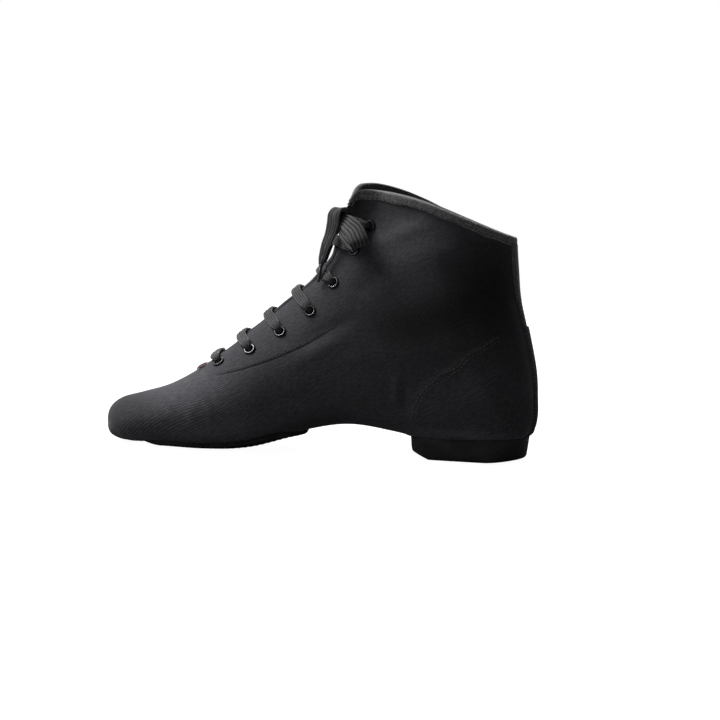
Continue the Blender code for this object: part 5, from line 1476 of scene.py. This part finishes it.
# The knot: a braid wound once over a tight core, its ends tucked under
KNOT_WIDTH, KNOT_THICK, KNOT_STEPS, CORE_WIDTH, CORE_STEPS = 6.0, 1.6, 70, 5.6, 24
knot_turn = np.linspace(-0.75 * math.pi, 1.05 * math.pi, KNOT_STEPS)
knot_path = KNOT_CENTRE + np.column_stack([
    (KNOT_HALF[0] - 0.8) * np.cos(knot_turn), -0.6 + 0.5 * knot_turn,
    (KNOT_HALF[2] - 1.0) * np.sin(knot_turn)])
wound = braid(
    knot_path, np.broadcast_to((0.15, 1.0, 0.1), knot_path.shape), np.full(KNOT_STEPS, KNOT_WIDTH),
    np.full(KNOT_STEPS, KNOT_THICK))
core_share = np.linspace(-1, 1, CORE_STEPS)
core_path = KNOT_CENTRE + core_share[:, None] * np.array((0.4, KNOT_HALF[1] - 0.4, 0.3))
core_width = CORE_WIDTH * np.sqrt(1 - 0.75 * core_share**2)
core = braid(core_path, np.broadcast_to((1.0, 0.0, 0.2), core_path.shape), core_width, core_width * 0.95)
add_braid("lace_knot", *joined([wound[:2], core[:2]]), np.concatenate([wound[2], core[2]]))

# Moulded plastic tips: smooth black tube, crimped on, with a dull shine
plastic, tree, shader, haze = mottled(
    "black_acetate_tip", {"Specular IOR Level": 0.5}, 1.5, 2.0, "#1e1e20", "#3a3a3e")
scratched = node(tree, "MapRange", inputs={
    "Value": haze, "From Min": 0.3, "From Max": 0.7, "To Min": 0.2, "To Max": 0.4})
plug(tree, shader, {"Roughness": scratched})

loop_share, end_share = np.linspace(0, 1, LOOP_STEPS), np.linspace(0, 1, END_STEPS)
lies_at, *lies = np.array(LOOP_ACROSS).T
loop_across = read_along(loop_share, lies_at, np.array(lies).T)
loop_width = np.interp(loop_share, *np.array(LOOP_WIDTH).T)
end_width, end_thick = (np.interp(end_share, *np.array(table).T) for table in (END_WIDTH, END_THICK))
about_a = (np.arange(AGLET_SIDES) + 0.5) * 2 * math.pi / AGLET_SIDES
aglet_run, aglet_r = AGLET_PROFILE.T[:, :, None, None]
for side, carry, flip in (("medial", np.array, 1.0), ("lateral", other_side, -1.0)):
    loop_path = along_route(carry(LOOP_ROUTE), LOOP_STEPS)
    made = braid(loop_path, loop_across, loop_width, np.full(LOOP_STEPS, LACE_THICK))
    loop = add_braid(f"lace_loop_{side}", *made)
    end_path = along_route(carry(END_ROUTE), END_STEPS)
    end_across = np.broadcast_to(np.array(END_ACROSS) * (1.0, flip, 1.0), end_path.shape)
    end = add_braid(f"lace_end_{side}", *braid(end_path, end_across, end_width, end_thick))
    way = unit(end_path[-1] - end_path[-3])
    aside = unit(np.cross(way, (0.0, 1.0, 0.0)))
    ring = aside * np.cos(about_a)[:, None] + np.cross(way, aside) * np.sin(about_a)[:, None]
    points = end_path[-1] + way * (aglet_run - AGLET_OVER) + ring[None] * AGLET_R * aglet_r
    aglet = add_piece(
        f"aglet_{side}_tip", points.reshape(-1, 3), tube(numbers(points)), plastic, "aglet_plastic",
        (f"aglet_{side}",))


# Bar tack. A short dense bar of dull red thread sewn across the throat's base to stop it tearing.

TACK_S, TACK_TURNS, TACK_THREADS = (4.86, 5.09), (-0.10, 0.25), 10
TACK_OUT, TACK_SLOPE, TACK_R, TACK_PROUD = 0.2, 0.9, 0.36, 0.35
tack_rows = []
for tack_turn in np.linspace(*TACK_TURNS, TACK_THREADS):
    thread_s = np.linspace(*TACK_S, 9)
    path = skin(thread_s, tack_turn, TACK_OUT + TACK_SLOPE * np.linspace(1, 0, 9))
    run = np.linalg.norm(path[-1] - path[0])
    ends = np.concatenate([path[:1] * 2 - path[-1:], path, path[-1:] * 2 - path[:1]])
    lifted = np.broadcast_to(outward(TACK_S[0], tack_turn), ends.shape)
    tack_rows.append(stitches(ends, lifted, 1.5 * run, run, TACK_R, TACK_PROUD))

# Dull red polyester thread: a soft shine, faded to pink in patches
red, *_ = mottled(
    "dull_red_thread", {"Roughness": 0.6, "Specular IOR Level": 0.3}, 0.7, 2.0, "#4c373a", "#7e6064")
add_seam("throat_bar_tack", tack_rows, red)
